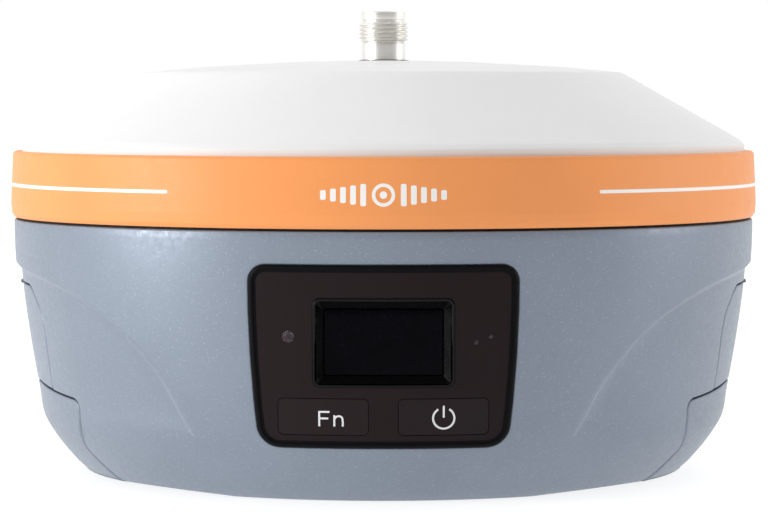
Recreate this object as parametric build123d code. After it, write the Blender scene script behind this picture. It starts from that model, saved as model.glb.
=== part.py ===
from build123d import *
import math
import os

# Handheld-pole GNSS receiver, millimetres. +Z is up, the key panel faces -Y.
# The origin is the mouth of the pole thread, level with the rim it stands on.

# ---- overall sizes -------------------------------------------------------
SEAM_Z = 55.4            # top of the lower housing
BAND_BOTTOM_Z = 55.9
BAND_TOP_Z = 70.2
BAND_RADIUS = 82.0
DOME_TOP_Z = 90.0
JACK_TOP_Z = 100.8
WALL = 3.2               # lower housing wall
FLOOR_TOP_Z = 3.7
FLOOR_RECESS_Z = 1.2     # the underside is sunk by this much inside the rim
FLOOR_RECESS_RADIUS = 57.0
RIM_RELIEF_ANGLE = 49.0  # the rim lifts off the table a little at four places, seen from above
RIM_RELIEF_START = 60.0
RIM_RELIEF_SLOPE = 0.15

# (radius, height) of the full body surface, bottom to top
RAISED = [(64.1, 0.0), (66.1, 1.1), (68.8, 3.8), (72.9, 9.0), (74.8, 12.3), (76.8, 18.3),
          (79.3, 30.1), (80.7, 41.9), (81.2, 50.0), (81.3, SEAM_Z)]
# the same inside the sunk areas on the two sides
SUNK = [(64.1, 0.0), (66.1, 1.1), (68.8, 3.8), (72.9, 9.0), (74.8, 12.3), (75.9, 18.3),
        (77.95, 30.1), (79.5, 41.9), (79.9, 47.0)]
# right half of the arch round a sunk area, seen from the side: (y, z)
ARCH = [(64.5, 17.0), (64.0, 23.2), (62.3, 28.3), (59.9, 32.6), (56.6, 36.1), (52.4, 38.8),
        (47.0, 41.0), (39.9, 42.8), (23.9, 44.6), (0.0, 45.9)]

# ---- front panel ---------------------------------------------------------
PANEL_TOP_Z = 48.8
PANEL_BOTTOM_Z = 11.8
PANEL_TOP_HALF = 27.0
PANEL_BOTTOM_HALF = 24.9
GASKET_WIDTH = 1.5
GASKET_PROUD = 0.6
OVERLAY_PROUD = 0.2
OVERLAY_DEPTH = 1.4
CARRIER_DEPTH = 5.0
DISPLAY_Z = 33.3
BEZEL_SIZE = (28.3, 17.9)
WINDOW_SIZE = (23.8, 13.3)
GLASS_Y = -77.3          # front face of the display glass
BEZEL_BACK_Y = -75.5
KEY_SIZE = (17.7, 7.1)
KEY_X = 12.0
KEY_Z = 18.3
KEY_GAP = 0.3
KEY_BOARD_Y = -66.6
LAMP_BOARD_Y = -70.0
LIGHTS = [(-19.0, 34.5, 1.2), (18.4, 33.3, 0.45), (21.4, 34.4, 0.45)]

# ---- side doors and covers ----------------------------------------------
SEAM = 0.4               # gap round every door and cover
DOOR_THICKNESS = 2.2
POCKET_DEPTH = 2.9       # land the doors close on, below the sunk surface
LAND_DEPTH = 4.9
HINGE_X = 56.2
HINGE_Z = 2.2
PIN_RADIUS = 0.75
KNUCKLE_RADIUS = 1.5
BAY_HALF_WIDTH = 32.6
BAY_TOP_Z = 18.0
COVER_TOP_Z = 41.4
COVER_HINGE_X = 79.3     # pivot bead in the seam along the top of each cover
COVER_HINGE_Z = 41.6
BEAD_RADIUS = 0.45
EDGE_SKIN = 0.8          # below this depth door and cover edges step in, to clear as they swing

# ---- aerial deck and boards ---------------------------------------------
DECK_BOTTOM_Z = 58.0
DECK_TOP_Z = 60.0
SCREW_WELLS = [(30, 46), (-30, 46), (30, -46), (-30, -46)]
WELL_TOP_Z = 50.0
BOARD_BOTTOM_Z = 26.0
BOARD_TOP_Z = 27.6
BOARD_POSTS = [(13, 36), (-13, 36), (13, -36), (-13, -36)]
BAY_POSTS = [(48, 29), (48, -29)]
PLANE_Z = 62.0           # underside of the ground plane
PLANE_SCREW_ANGLES = [20, 90, 160, 200, 270, 340]
PLANE_SCREW_RADIUS = 58.0
RADOME_SCREW_RADIUS = 73.6

# ---- pole insert and aerial jack ----------------------------------------
POLE_BORE_RADIUS = 6.75  # 5/8-11 UNC, drawn as its plain minor bore
POLE_BORE_DEPTH = 16.0
JACK_THREAD_RADIUS = 5.556


# ---- shape helpers -------------------------------------------------------
def inset(points, depth):
    """The (radius, height) curve moved in by depth along its normals."""
    moved = []
    for i, (radius, height) in enumerate(points):
        before = points[max(i - 1, 0)]
        after = points[min(i + 1, len(points) - 1)]
        along_r = after[0] - before[0]
        along_z = after[1] - before[1]
        length = math.hypot(along_r, along_z)
        moved.append((radius - depth * along_z / length, height + depth * along_r / length))
    return moved


def filled(points):
    """A solid of revolution under a smooth curve of (radius, height)."""
    closing = Polyline(points[-1], (0, points[-1][1]), (0, points[0][1]), points[0])
    return revolve(Plane.XZ * make_face(Spline(*points) + closing), Axis.Z)


def turned(points):
    """A solid of revolution from a closed polygon of (radius, height)."""
    return revolve(Plane.XZ * make_face(Polyline(*points, close=True)), Axis.Z)


def box(x0, x1, y0, y1, z0, z1):
    """A box given by its limits."""
    centre = Pos((x0 + x1) / 2, (y0 + y1) / 2, (z0 + z1) / 2)
    return centre * Box(x1 - x0, y1 - y0, z1 - z0)


def post(x, y, z0, z1, radius):
    """An upright cylinder given by its two end heights."""
    return Pos(x, y, (z0 + z1) / 2) * Cylinder(radius, z1 - z0)


def rod_y(x, z, y0, y1, radius):
    """A cylinder lying along Y."""
    return Pos(x, (y0 + y1) / 2, z) * Rot(90, 0, 0) * Cylinder(radius, y1 - y0)


def rod_x(y, z, x0, x1, radius):
    """A cylinder lying along X."""
    return Pos((x0 + x1) / 2, y, z) * Rot(0, 90, 0) * Cylinder(radius, x1 - x0)


def front_prism(sketch):
    """A sketch in x and z carried forward from the middle plane."""
    return extrude(Plane.XZ * sketch, 95)


def side_prism(sketch):
    """A sketch in y and z carried out to the right from x = 45."""
    return extrude(Plane.YZ.offset(45) * sketch, 50)


def raised_solid(depth):
    return filled(inset(RAISED, depth))


def sunk_solid(depth):
    return filled(inset(SUNK, depth))


def other_side(part):
    """The same part on the left-hand side."""
    return mirror(part, Plane.YZ)


# ---- outlines ------------------------------------------------------------
def corner_fillet(sketch, points_radii):
    """Rounds the vertex of a sketch nearest each (x, y), each by its own radius."""
    for x, y, radius in points_radii:
        nearest = sketch.vertices().sort_by_distance((x, y, 0))[0]
        sketch = fillet(nearest, radius)
    return sketch


def panel_outline():
    """Outer edge of the gasket: narrower at the bottom, slightly bowed sides."""
    top = PANEL_TOP_HALF
    low = PANEL_BOTTOM_HALF
    bow = (top + low) / 2 + 0.55
    middle = (PANEL_TOP_Z + PANEL_BOTTOM_Z) / 2
    edges = ThreePointArc((low, PANEL_BOTTOM_Z), (bow, middle), (top, PANEL_TOP_Z))
    edges += Line((top, PANEL_TOP_Z), (-top, PANEL_TOP_Z))
    edges += ThreePointArc((-top, PANEL_TOP_Z), (-bow, middle), (-low, PANEL_BOTTOM_Z))
    edges += Line((-low, PANEL_BOTTOM_Z), (low, PANEL_BOTTOM_Z))
    corners = [(top, PANEL_TOP_Z, 3.4), (-top, PANEL_TOP_Z, 3.4),
               (low, PANEL_BOTTOM_Z, 4.8), (-low, PANEL_BOTTOM_Z, 4.8)]
    return corner_fillet(make_face(edges), corners)


def door_outline(trim=0.0):
    """Battery door seen from the side; it runs on below the rim to be cut there.

    A trim pulls in the slanting part of its ends, which would foul the housing as it swings.
    """
    slant_top = (39.4 - trim, 13.0 + trim)
    slant_end = (35.0 - 0.4 * trim, 8.0 + 0.6 * trim)
    half = [(17.0, 20.0), (40.7, 18.1), slant_top, slant_end, (34.9 - 0.4 * trim, -2.0)]
    points = half + [(-y, z) for y, z in reversed(half)]
    rounded = [(40.7, 18.1, 1.9), slant_top + (4.0,), slant_end + (3.0,), (17.0, 20.0, 8.0)]
    corners = []
    for y, z, radius in rounded:
        corners += [(y, z, radius), (-y, z, radius)]
    return corner_fillet(make_face(Polyline(*points, close=True)), corners)


def cover_outline(lip=0.0):
    """Port cover seen from the side: an arch standing on the door.

    A lip carries its lower edge down, close to the top edge of the door.
    """
    half = [(17.0, 21.3 - 0.8 * lip), (28.3 + 0.1 * lip, 20.75 - 1.15 * lip), (30.3, 31.5),
            (30.0, 36.0), (24.5, COVER_TOP_Z)]
    points = half + [(-y, z) for y, z in reversed(half)]
    corners = []
    for (y, z), radius in zip(half[1:], [0.8, 8.0, 6.0, 8.0]):
        corners += [(y, z, radius), (-y, z, radius)]
    return corner_fillet(make_face(Polyline(*points, close=True)), corners)


def key_outline(grow):
    return RectangleRounded(KEY_SIZE[0] + 2 * grow, KEY_SIZE[1] + 2 * grow, 0.9 + grow)


def arch_outline():
    """Edge of a sunk side area, as one closed face in y and z."""
    left = [(-y, z) for y, z in reversed(ARCH[:-1])]
    spline = Spline(*(ARCH + left))
    base = Polyline((-ARCH[0][0], ARCH[0][1]), (-ARCH[0][0], 10.0), (ARCH[0][0], 10.0), ARCH[0])
    return make_face(spline + base)


# ---- lower housing -------------------------------------------------------
def side_sink():
    """What is taken off the right side to sink it below the raised shields."""
    outside = [(75.15, 11.9), (74.85, 12.4)] + SUNK[5:] + [(95, 47.0), (95, 11.9)]
    return side_prism(arch_outline()) & turned(outside)


def side_pocket():
    """Room for the door and cover, down to the land they close on."""
    outline = offset(door_outline(), SEAM) + offset(cover_outline(), SEAM)
    outline += Pos(0, 20.4) * Rectangle(57.6, 2.6)
    pocket = side_prism(outline) - sunk_solid(POCKET_DEPTH)
    under_door = side_prism(offset(door_outline(), SEAM)) & box(53.7, 95, -50, 50, -5, FLOOR_TOP_Z)
    return (pocket & box(53.7, 95, -50, 50, -5, 50)) + under_door


def side_land():
    """The thick band of wall behind the door and cover edges."""
    outline = offset(door_outline(), 3.0) + offset(cover_outline(), 3.0)
    land = side_prism(outline) & sunk_solid(1.5)
    land -= sunk_solid(LAND_DEPTH)
    return land & box(45, 95, -50, 50, FLOOR_TOP_Z - 0.5, 50)


def port_holes(side):
    """Holes in the land for the sockets of one side (1 right, -1 left)."""
    hole = rod_x(-12, 31, 60, 90, 5.2)
    if side > 0:
        return hole + box(60, 90, 2, 18, 29.5, 32.5)
    return hole + box(60, 90, 7, 17, 28.8, 33.2)


def hinge_knuckles():
    """Housing half of the right door hinge."""
    knuckles = None
    for y in (-21.0, 21.0):
        web = box(52.0, HINGE_X, y - 3, y + 3, HINGE_Z - KNUCKLE_RADIUS, FLOOR_TOP_Z)
        knuckle = web + rod_y(HINGE_X, HINGE_Z, y - 3, y + 3, KNUCKLE_RADIUS)
        knuckle -= rod_y(HINGE_X, HINGE_Z, y - 4, y + 4, PIN_RADIUS)
        knuckles = knuckle if knuckles is None else knuckles + knuckle
    return knuckles


def rim_reliefs():
    """Four shallow wedges taken off the standing rim, between the doors and the front and back."""
    start = RIM_RELIEF_START
    rise = RIM_RELIEF_SLOPE * (90 - start)
    profile = make_face(Polyline((start, 0), (90, rise), (90, -1), (start, -1), close=True))
    wedge = Pos(0, 30, 0) * extrude(Plane.XZ * profile, 60)
    cuts = None
    for side in (1, -1):
        for end in (1, -1):
            turn = side * (90 - end * (90 - RIM_RELIEF_ANGLE)) - 90
            cut = Rot(0, 0, turn) * wedge
            cuts = cut if cuts is None else cuts + cut
    return cuts


def lower_housing():
    shell = raised_solid(0)
    inside = raised_solid(WALL) & box(-90, 90, -90, 90, FLOOR_TOP_Z, 60)
    above = inset(RAISED, WALL)[-1]
    inside += post(0, 0, above[1] - 1.0, 60, above[0])
    sink = side_sink()
    land = side_land()
    pocket = side_pocket()
    opening = box(45, 95, -BAY_HALF_WIDTH, BAY_HALF_WIDTH, FLOOR_TOP_Z, BAY_TOP_Z)
    shell = shell - inside - sink - other_side(sink)
    shell = shell + land + other_side(land)
    shell = shell - pocket - other_side(pocket)
    shell = shell - opening - other_side(opening)
    shell = shell + hinge_knuckles() + other_side(hinge_knuckles())
    shell = shell - port_holes(1) - other_side(port_holes(-1))
    shell -= front_prism(panel_outline()) & box(-40, 40, -95, -55, 0, 60)
    # underside: sunk face, boss for the pole insert, screw wells
    shell -= post(0, 0, -1, FLOOR_RECESS_Z, FLOOR_RECESS_RADIUS)
    shell += post(0, 0, 0, FLOOR_TOP_Z, 21) + post(0, 0, 0, 14, 17)
    for x, y in SCREW_WELLS:
        shell += post(x, y, 0.4, WELL_TOP_Z, 4.6)
    for x, y in BOARD_POSTS:
        shell += post(x, y, 3.0, BOARD_BOTTOM_Z, 3.0)
    shell -= post(0, 0, -1, 2.0, 18.5) + post(0, 0, 0, 15, 11)
    for x, y in SCREW_WELLS:
        shell -= post(x, y, -1, 30, 3.1) + post(x, y, 29, 51, 1.7)
    for x, y in BOARD_POSTS:
        shell -= post(x, y, 19, 27, 1.1)
    for angle in (45, 135, 225, 315):
        x = 14.4 * math.cos(math.radians(angle))
        y = 14.4 * math.sin(math.radians(angle))
        shell -= post(x, y, 1, 11, 1.3)
    # speaker grille, vent bore and label recess in the floor
    grille = [(0, 42)] + [(4.6 * math.cos(k * math.pi / 3), 42 + 4.6 * math.sin(k * math.pi / 3))
                          for k in range(6)]
    for x, y in grille:
        shell -= post(x, y, 0, 5, 0.9)
    shell -= post(20, 44, 0, 5, 2.4)
    shell -= box(-22, 22, -45, -27, 1.0, 1.6)
    # troughs for the pivot beads of the port covers, and the rim reliefs
    for side in (1, -1):
        shell -= rod_y(side * COVER_HINGE_X, COVER_HINGE_Z, -7.4, 7.4, BEAD_RADIUS + 0.08)
    return shell - rim_reliefs()


# ---- side doors, covers, batteries (right side) --------------------------
def battery_door():
    door = (side_prism(door_outline()) & sunk_solid(0)) - sunk_solid(EDGE_SKIN)
    door += (side_prism(door_outline(1.0)) & sunk_solid(EDGE_SKIN)) - sunk_solid(DOOR_THICKNESS)
    door &= box(55.0, 95, -50, 50, 0.6, 25)
    for y in (-14.6, 14.6):
        door += rod_y(HINGE_X, HINGE_Z, y - 3, y + 3, KNUCKLE_RADIUS)
        door -= rod_y(HINGE_X, HINGE_Z, y - 4, y + 4, PIN_RADIUS + 0.05)
    for y in (-21.2, 21.2):
        door -= box(50, 58.3, y - 3.4, y + 3.4, -1, 4.4)
    # finger lip along the top edge, inside
    door += (side_prism(Pos(0, 17.3) * Rectangle(30, 1.2)) & sunk_solid(1.5)) - sunk_solid(2.6)
    return door


def door_seal():
    outer = offset(door_outline(1.0), -0.35)
    inner = offset(door_outline(1.0), -1.45)
    ring = side_prism(outer - inner) & sunk_solid(DOOR_THICKNESS)
    ring -= sunk_solid(POCKET_DEPTH - 0.3)
    return ring & box(56.0, 95, -50, 50, 5.0, 25)


def hinge_pins():
    return rod_y(HINGE_X, HINGE_Z, 12, 24, PIN_RADIUS) + rod_y(HINGE_X, HINGE_Z, -24, -12, PIN_RADIUS)


def port_cover():
    cover = (side_prism(cover_outline(1.0)) & sunk_solid(0)) - sunk_solid(EDGE_SKIN)
    cover += (side_prism(cover_outline()) & sunk_solid(EDGE_SKIN)) - sunk_solid(DOOR_THICKNESS)
    return cover + rod_y(COVER_HINGE_X, COVER_HINGE_Z, -7.0, 7.0, BEAD_RADIUS)


def battery_bay():
    half = BAY_HALF_WIDTH + 1.2
    hood = box(17.4, 75, -half, half, FLOOR_TOP_Z, BAY_TOP_Z + 1.4) & sunk_solid(LAND_DEPTH)
    hood -= box(18.6, 80, -BAY_HALF_WIDTH, BAY_HALF_WIDTH, 0, BAY_TOP_Z + 0.2)
    for x, y in BAY_POSTS:
        hood += post(x, y, BAY_TOP_Z + 1.4, BOARD_BOTTOM_Z, 3.0)
        hood -= post(x, y, 20.5, 27, 1.1)
    return hood


def battery():
    pack = box(19.4, 53.2, -32, 32, FLOOR_TOP_Z, 17.3)
    return fillet(pack.edges().filter_by(Axis.X), 2.0)


def battery_contacts():
    contacts = None
    for side in (1, -1):
        for y in (-8, 0, 8):
            limits = sorted((side * 18.6, side * 19.4))
            blade = box(limits[0], limits[1], y - 2, y + 2, 7, 13)
            contacts = blade if contacts is None else contacts + blade
    return contacts


# ---- sockets behind the port covers -------------------------------------
def round_socket(y, side, pins):
    """A round panel socket pointing out to one side."""
    socket = rod_x(y, 31, 60, 72.2, 5.2) + rod_x(y, 31, 67.0, 69.0, 6.6)
    socket -= rod_x(y, 31, 67.5, 75, 4.3)
    for k in range(pins):
        angle = 2 * math.pi * k / pins
        socket += rod_x(y + 2.5 * math.cos(angle), 31 + 2.5 * math.sin(angle), 67.0, 71.0, 0.45)
    return socket if side > 0 else other_side(socket)


def usb_socket():
    socket = box(60, 72.4, 7, 17, 28.8, 33.2)
    slot = Plane.YZ.offset(66) * Pos(12, 31) * RectangleRounded(8.4, 2.6, 1.2)
    socket -= extrude(slot, 10)
    socket += box(65, 71, 9.2, 14.8, 30.65, 31.35)
    return other_side(socket)


def sim_reader():
    reader = box(56, 72.6, 2, 18, 29.5, 32.5)
    return reader - box(58, 75, 3.5, 16.5, 30.5, 31.5)


# ---- front panel parts ---------------------------------------------------
def key_window(side, grow):
    return front_prism(Pos(side * KEY_X, KEY_Z) * key_outline(grow))


def bezel_prism():
    return front_prism(Pos(0, DISPLAY_Z) * RectangleRounded(BEZEL_SIZE[0], BEZEL_SIZE[1], 1.5))


def light_rods():
    rods = None
    for x, z, radius in LIGHTS:
        rod = rod_y(x, z, -95, LAMP_BOARD_Y, radius)
        rods = rod if rods is None else rods + rod
    return rods


def panel_gasket():
    ring = front_prism(panel_outline()) - front_prism(offset(panel_outline(), -GASKET_WIDTH))
    return (ring & raised_solid(-GASKET_PROUD)) - raised_solid(WALL)


def panel_overlay():
    sheet = front_prism(offset(panel_outline(), -GASKET_WIDTH)) & raised_solid(-OVERLAY_PROUD)
    sheet = sheet - raised_solid(OVERLAY_DEPTH) - bezel_prism() - light_rods()
    return sheet - key_window(1, KEY_GAP) - key_window(-1, KEY_GAP)


def panel_carrier():
    plate = front_prism(offset(panel_outline(), -GASKET_WIDTH)) & raised_solid(OVERLAY_DEPTH)
    rim = front_prism(offset(panel_outline(), 3.0)) & raised_solid(WALL)
    carrier = (plate + rim) - raised_solid(CARRIER_DEPTH)
    carrier = carrier - bezel_prism() - light_rods()
    carrier -= box(-14.4, 14.4, -75.6, -60, DISPLAY_Z - 8.9, DISPLAY_Z + 8.9)
    for side in (1, -1):
        carrier -= key_window(side, 1.2) - raised_solid(3.6)
        carrier -= rod_y(side * KEY_X, KEY_Z, -90, -60, 2.7)
        x = side * KEY_X
        carrier -= box(x - 3.5, x + 3.5, -70.3, -60, KEY_Z - 3.5, KEY_Z + 3.5)
    for z in (15.9, 21.6):
        carrier += rod_y(0, z, -73.0, KEY_BOARD_Y, 1.8)
    return carrier


def display_bezel():
    frame = bezel_prism() & raised_solid(-OVERLAY_PROUD)
    frame &= box(-20, 20, -95, BEZEL_BACK_Y, 0, 60)
    wide_size = (BEZEL_SIZE[0] - 1.0, BEZEL_SIZE[1] - 1.0)
    wide = Plane.XZ.offset(80.6) * Pos(0, DISPLAY_Z) * Rectangle(*wide_size)
    narrow = Plane.XZ.offset(-GLASS_Y) * Pos(0, DISPLAY_Z) * Rectangle(WINDOW_SIZE[0], WINDOW_SIZE[1])
    frame -= loft([wide, narrow])
    frame -= box(-wide_size[0] / 2, wide_size[0] / 2, -95, -80.6,
                 DISPLAY_Z - wide_size[1] / 2, DISPLAY_Z + wide_size[1] / 2)
    return frame - box(-WINDOW_SIZE[0] / 2, WINDOW_SIZE[0] / 2, -80, -70,
                       DISPLAY_Z - WINDOW_SIZE[1] / 2, DISPLAY_Z + WINDOW_SIZE[1] / 2)


def display_window():
    return box(-WINDOW_SIZE[0] / 2, WINDOW_SIZE[0] / 2, GLASS_Y, BEZEL_BACK_Y,
               DISPLAY_Z - WINDOW_SIZE[1] / 2, DISPLAY_Z + WINDOW_SIZE[1] / 2)


def display_module():
    """The display on its board, which also carries the three status lamps."""
    panel = box(-14.1, 14.1, BEZEL_BACK_Y, -74.0, DISPLAY_Z - 8.5, DISPLAY_Z + 8.5)
    support = box(-12, 12, -74.0, LAMP_BOARD_Y, DISPLAY_Z - 7, DISPLAY_Z + 7)
    board = box(-22.4, 22.4, LAMP_BOARD_Y, LAMP_BOARD_Y + 1.2, 28.2, 41)
    return panel + support + board


def key_cap(side):
    cap = key_window(side, 0) & raised_solid(-OVERLAY_PROUD)
    cap -= raised_solid(2.2)
    rim = (key_window(side, 0.8) & raised_solid(1.8)) - raised_solid(2.7)
    stem = rod_y(side * KEY_X, KEY_Z, -90, -71.1, 2.2) & raised_solid(1.8)
    return cap + rim + stem


def keypad_board():
    return box(-21, 21, KEY_BOARD_Y, KEY_BOARD_Y + 1.2, 15.0, 24.0)


def key_switches():
    switches = None
    for side in (1, -1):
        x = side * KEY_X
        switch = box(x - 3, x + 3, -69.6, KEY_BOARD_Y, KEY_Z - 3, KEY_Z + 3)
        switch += rod_y(x, KEY_Z, -70.3, -69.0, 1.6)
        switches = switch if switches is None else switches + switch
    return switches


# ---- band, radome, aerials -----------------------------------------------
def trim_band():
    profile = [(77.0, BAND_BOTTOM_Z), (81.2, BAND_BOTTOM_Z), (81.8, 56.6), (BAND_RADIUS, 58.6),
               (81.9, 62.0), (81.5, 69.6), (81.1, BAND_TOP_Z), (78.4, BAND_TOP_Z),
               (78.4, DECK_BOTTOM_Z), (77.0, DECK_BOTTOM_Z)]
    return turned(profile)


def band_seal():
    return turned([(78.6, SEAM_Z), (80.5, SEAM_Z), (80.5, BAND_BOTTOM_Z), (78.6, BAND_BOTTOM_Z)])


def antenna_deck():
    deck = post(0, 0, DECK_BOTTOM_Z, DECK_TOP_Z, 78.3) - post(0, 0, 50, 70, 50)
    for x, y in SCREW_WELLS:
        deck += post(x, y, WELL_TOP_Z, DECK_TOP_Z, 4.2)
        deck -= post(x, y, WELL_TOP_Z - 1, 57.5, 1.5)
    for angle in PLANE_SCREW_ANGLES:
        x, y = ring_point(PLANE_SCREW_RADIUS, angle)
        deck += post(x, y, DECK_BOTTOM_Z, PLANE_Z, 3.2)
        deck -= post(x, y, 57, 63, 1.2)
    for k in range(6):
        x, y = ring_point(RADOME_SCREW_RADIUS, 60 * k)
        deck -= post(x, y, 57, 61, 1.3)
    return deck


def ring_point(radius, angle):
    return radius * math.cos(math.radians(angle)), radius * math.sin(math.radians(angle))


def radome():
    outer = [(79.5, BAND_TOP_Z), (79.3, 71.8), (78.3, 72.7), (53.2, 86.85), (50.8, 87.7),
             (40.0, 88.45), (20.0, 89.6), (0.0, DOME_TOP_Z)]
    inner = [(0.0, 87.6), (14.0, 87.6), (20.0, 87.2), (40.0, 86.05), (50.2, 85.2), (76.2, 70.6),
             (76.2, DECK_TOP_Z), (78.4, DECK_TOP_Z), (78.4, BAND_TOP_Z)]
    shell = turned(outer + inner)
    shell = fillet(shell.edges().filter_by(lambda e: abs(e.center().Z - 86.85) < 0.05
                                           and e.geom_type == GeomType.CIRCLE), 2.2)
    for k in range(6):
        x, y = ring_point(RADOME_SCREW_RADIUS, 60 * k)
        shell += post(x, y, DECK_TOP_Z, 70.0, 3.2)
        shell -= post(x, y, 59, 69, 1.3)
    for x in (-11.5, 11.5):
        shell += post(x, 0, 84.6, 88.0, 2.4)
    return shell - post(0, 0, 80, 95, 5.75)


def radome_screws():
    screws = None
    for k in range(6):
        x, y = ring_point(RADOME_SCREW_RADIUS, 60 * k)
        screw = post(x, y, 56.0, DECK_BOTTOM_Z, 2.3) + post(x, y, DECK_BOTTOM_Z, 68.0, 1.3)
        screws = screw if screws is None else screws + screw
    return screws


def tnc_shell():
    outer = [(0, 84.6), (8.0, 84.6), (8.0, 87.6), (4.75, 87.6), (4.75, 93.7), (4.4, 93.9),
             (4.4, 94.1), (5.2, 94.1), (JACK_THREAD_RADIUS, 94.45), (JACK_THREAD_RADIUS, 98.25),
             (5.2, 98.6), (4.4, 98.6), (4.4, 98.9), (4.85, 98.9), (4.85, 100.5), (4.55, JACK_TOP_Z),
             (4.1, JACK_TOP_Z), (4.1, 92.6), (0, 92.6)]
    return turned(outer) - post(0, 0, 80, 95, 2.4)


def tnc_dielectric():
    return post(0, 0, 84.6, 99.4, 2.4) - post(0, 0, 80, 101, 0.75)


def tnc_contact():
    return post(0, 0, 83.6, 98.8, 0.75) - post(0, 0, 95.5, 99, 0.4)


def tnc_seal():
    return turned([(4.75, 87.6), (5.75, 87.6), (5.75, 89.95), (4.75, 90.15)])


def tnc_clamp_plate():
    plate = box(-14.5, 14.5, -5.5, 5.5, 83.0, 84.6)
    plate = fillet(plate.edges().filter_by(Axis.Z), 4.0) - post(0, 0, 80, 90, 2.6)
    for x in (-11.5, 11.5):
        plate += post(x, 0, 81.6, 83.2, 2.2)
    return plate


def uhf_lead():
    """Stiff coaxial lead from the jack straight down to the radio."""
    lead = post(0, 0, 37.2, 82.4, 1.4) + post(0, 0, 80.6, 83.6, 2.4)
    return lead + post(0, 0, 35.6, 38.6, 3.2)


def antenna_ground_plane():
    disc = post(0, 0, PLANE_Z, PLANE_Z + 1.0, 68.0) - post(0, 0, 60, 65, 3.2)
    for x, y in FEEDS:
        disc -= post(x, y, 60, 65, 1.2)
    for angle in PLANE_SCREW_ANGLES:
        x, y = ring_point(PLANE_SCREW_RADIUS, angle)
        disc -= post(x, y, 60, 65, 1.2)
    return disc


FEEDS = [(12, 0), (0, 12), (-12, 0), (0, -12)]


def patch(z0, z1, radius):
    """A disc of aerial laminate with a small key notch in its edge."""
    disc = post(0, 0, z0, z1, radius) - post(0, 0, 60, 80, 3.2)
    disc -= post(radius + 1.5, 0, 60, 80, 2.5)
    for x, y in FEEDS:
        disc -= post(x, y, 60, 80, 0.7)
    return disc


def antenna_feed_pins():
    pins = None
    for x, y in FEEDS:
        pin = post(x, y, 61.4, 74.6, 0.7) + post(x, y, 74.0, 74.6, 1.6)
        pins = pin if pins is None else pins + pin
    return pins


def antenna_lna_board():
    board = post(0, 0, 60.4, PLANE_Z, 34.0) - post(0, 0, 60, 65, 3.2)
    for x, y in FEEDS:
        board -= post(x, y, 61.4, 65, 0.7)
    return board


def lna_shield():
    can = post(0, 0, 56.6, 60.4, 28.0) - post(0, 0, 57.0, 61, 27.6) - post(0, 0, 50, 62, 3.4)
    return can + (post(0, 0, 56.6, 60.4, 3.8) - post(0, 0, 50, 62, 3.4)) - post(20, 0, 56, 58, 2.2)


def antenna_screws():
    screws = None
    for angle in PLANE_SCREW_ANGLES:
        x, y = ring_point(PLANE_SCREW_RADIUS, angle)
        screw = post(x, y, PLANE_Z + 1.0, PLANE_Z + 2.8, 2.3) + post(x, y, 58.5, PLANE_Z + 1.0, 1.2)
        screws = screw if screws is None else screws + screw
    return screws


def gnss_coax():
    """Thin coaxial lead from the aerial amplifier down to the receiver module."""
    path = FilletPolyline((20, 0, 58.0), (20, 0, 48.5), (-20, 14, 44.5), (-20, 14, 35.5), radius=5.0)
    lead = sweep(Plane(path @ 0, z_dir=path % 0) * Circle(0.9), path)
    return lead + post(20, 0, 56.2, 60.4, 1.9) + post(-20, 14, 34.0, 36.6, 1.9)


# ---- boards --------------------------------------------------------------
def main_board():
    board = box(-56, 56, -40, 40, BOARD_BOTTOM_Z, BOARD_TOP_Z)
    board = fillet(board.edges().filter_by(Axis.Z), 5.0)
    for x, y in BOARD_POSTS + BAY_POSTS + [(-x, y) for x, y in BAY_POSTS]:
        board -= post(x, y, 20, 30, 1.1)
    for x, y in [(0, 37.5), (25, 37.5), (-25, -37.5)]:
        board += box(x - 7, x + 7, y - 1.6, y + 1.6, BOARD_TOP_Z, BOARD_TOP_Z + 4)
    return board


def gnss_module():
    module = box(-44, -8, -32, 32, BOARD_TOP_Z + 1.4, BOARD_TOP_Z + 3.0)
    module += box(-42, -10, -20, 26, BOARD_TOP_Z + 3.0, 34.0)
    for y in (-29, 29):
        module += box(-40, -12, y - 1.5, y + 1.5, BOARD_TOP_Z, BOARD_TOP_Z + 1.4)
    return module


def processor_shield():
    can = box(17, 43, -33, -17, BOARD_TOP_Z, BOARD_TOP_Z + 4.0)
    can -= box(17.4, 42.6, -32.6, -17.4, BOARD_TOP_Z - 1, BOARD_TOP_Z + 3.6)
    return can + box(22, 38, -31, -19, BOARD_TOP_Z, BOARD_TOP_Z + 1.6)


def uhf_radio():
    radio = box(-5, 34, -12, 26, BOARD_TOP_Z, 35.0)
    radio = fillet(radio.edges().filter_by(Axis.Z), 1.5)
    for k in range(7):
        radio += box(8 + 3.6 * k, 9.4 + 3.6 * k, -10, 24, 34.8, 37.0)
    return radio + post(0, 0, 34.8, 35.6, 3.2)


def modem_module():
    return box(38, 54, -12, 18, BOARD_TOP_Z, BOARD_TOP_Z + 2.6)


def board_screws():
    screws = None
    for x, y in BOARD_POSTS + BAY_POSTS + [(-x, y) for x, y in BAY_POSTS]:
        screw = post(x, y, BOARD_TOP_Z, BOARD_TOP_Z + 1.6, 2.2)
        screw += post(x, y, 21.0, BOARD_TOP_Z, 1.1)
        screws = screw if screws is None else screws + screw
    return screws


def speaker():
    return post(0, 42, FLOOR_TOP_Z, 6.2, 9.0) + post(0, 42, 6.0, 8.8, 5.5)


def vent_plug():
    plug = post(20, 44, 0.6, FLOOR_TOP_Z + 1.0, 2.4) + post(20, 44, 0.4, FLOOR_RECESS_Z, 3.6)
    return plug - post(20, 44, 0, 0.9, 1.0)


def label_plate():
    plate = box(-21.8, 21.8, -44.8, -27.2, 0.9, 1.6)
    return fillet(plate.edges().filter_by(Axis.Z), 1.5)


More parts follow.
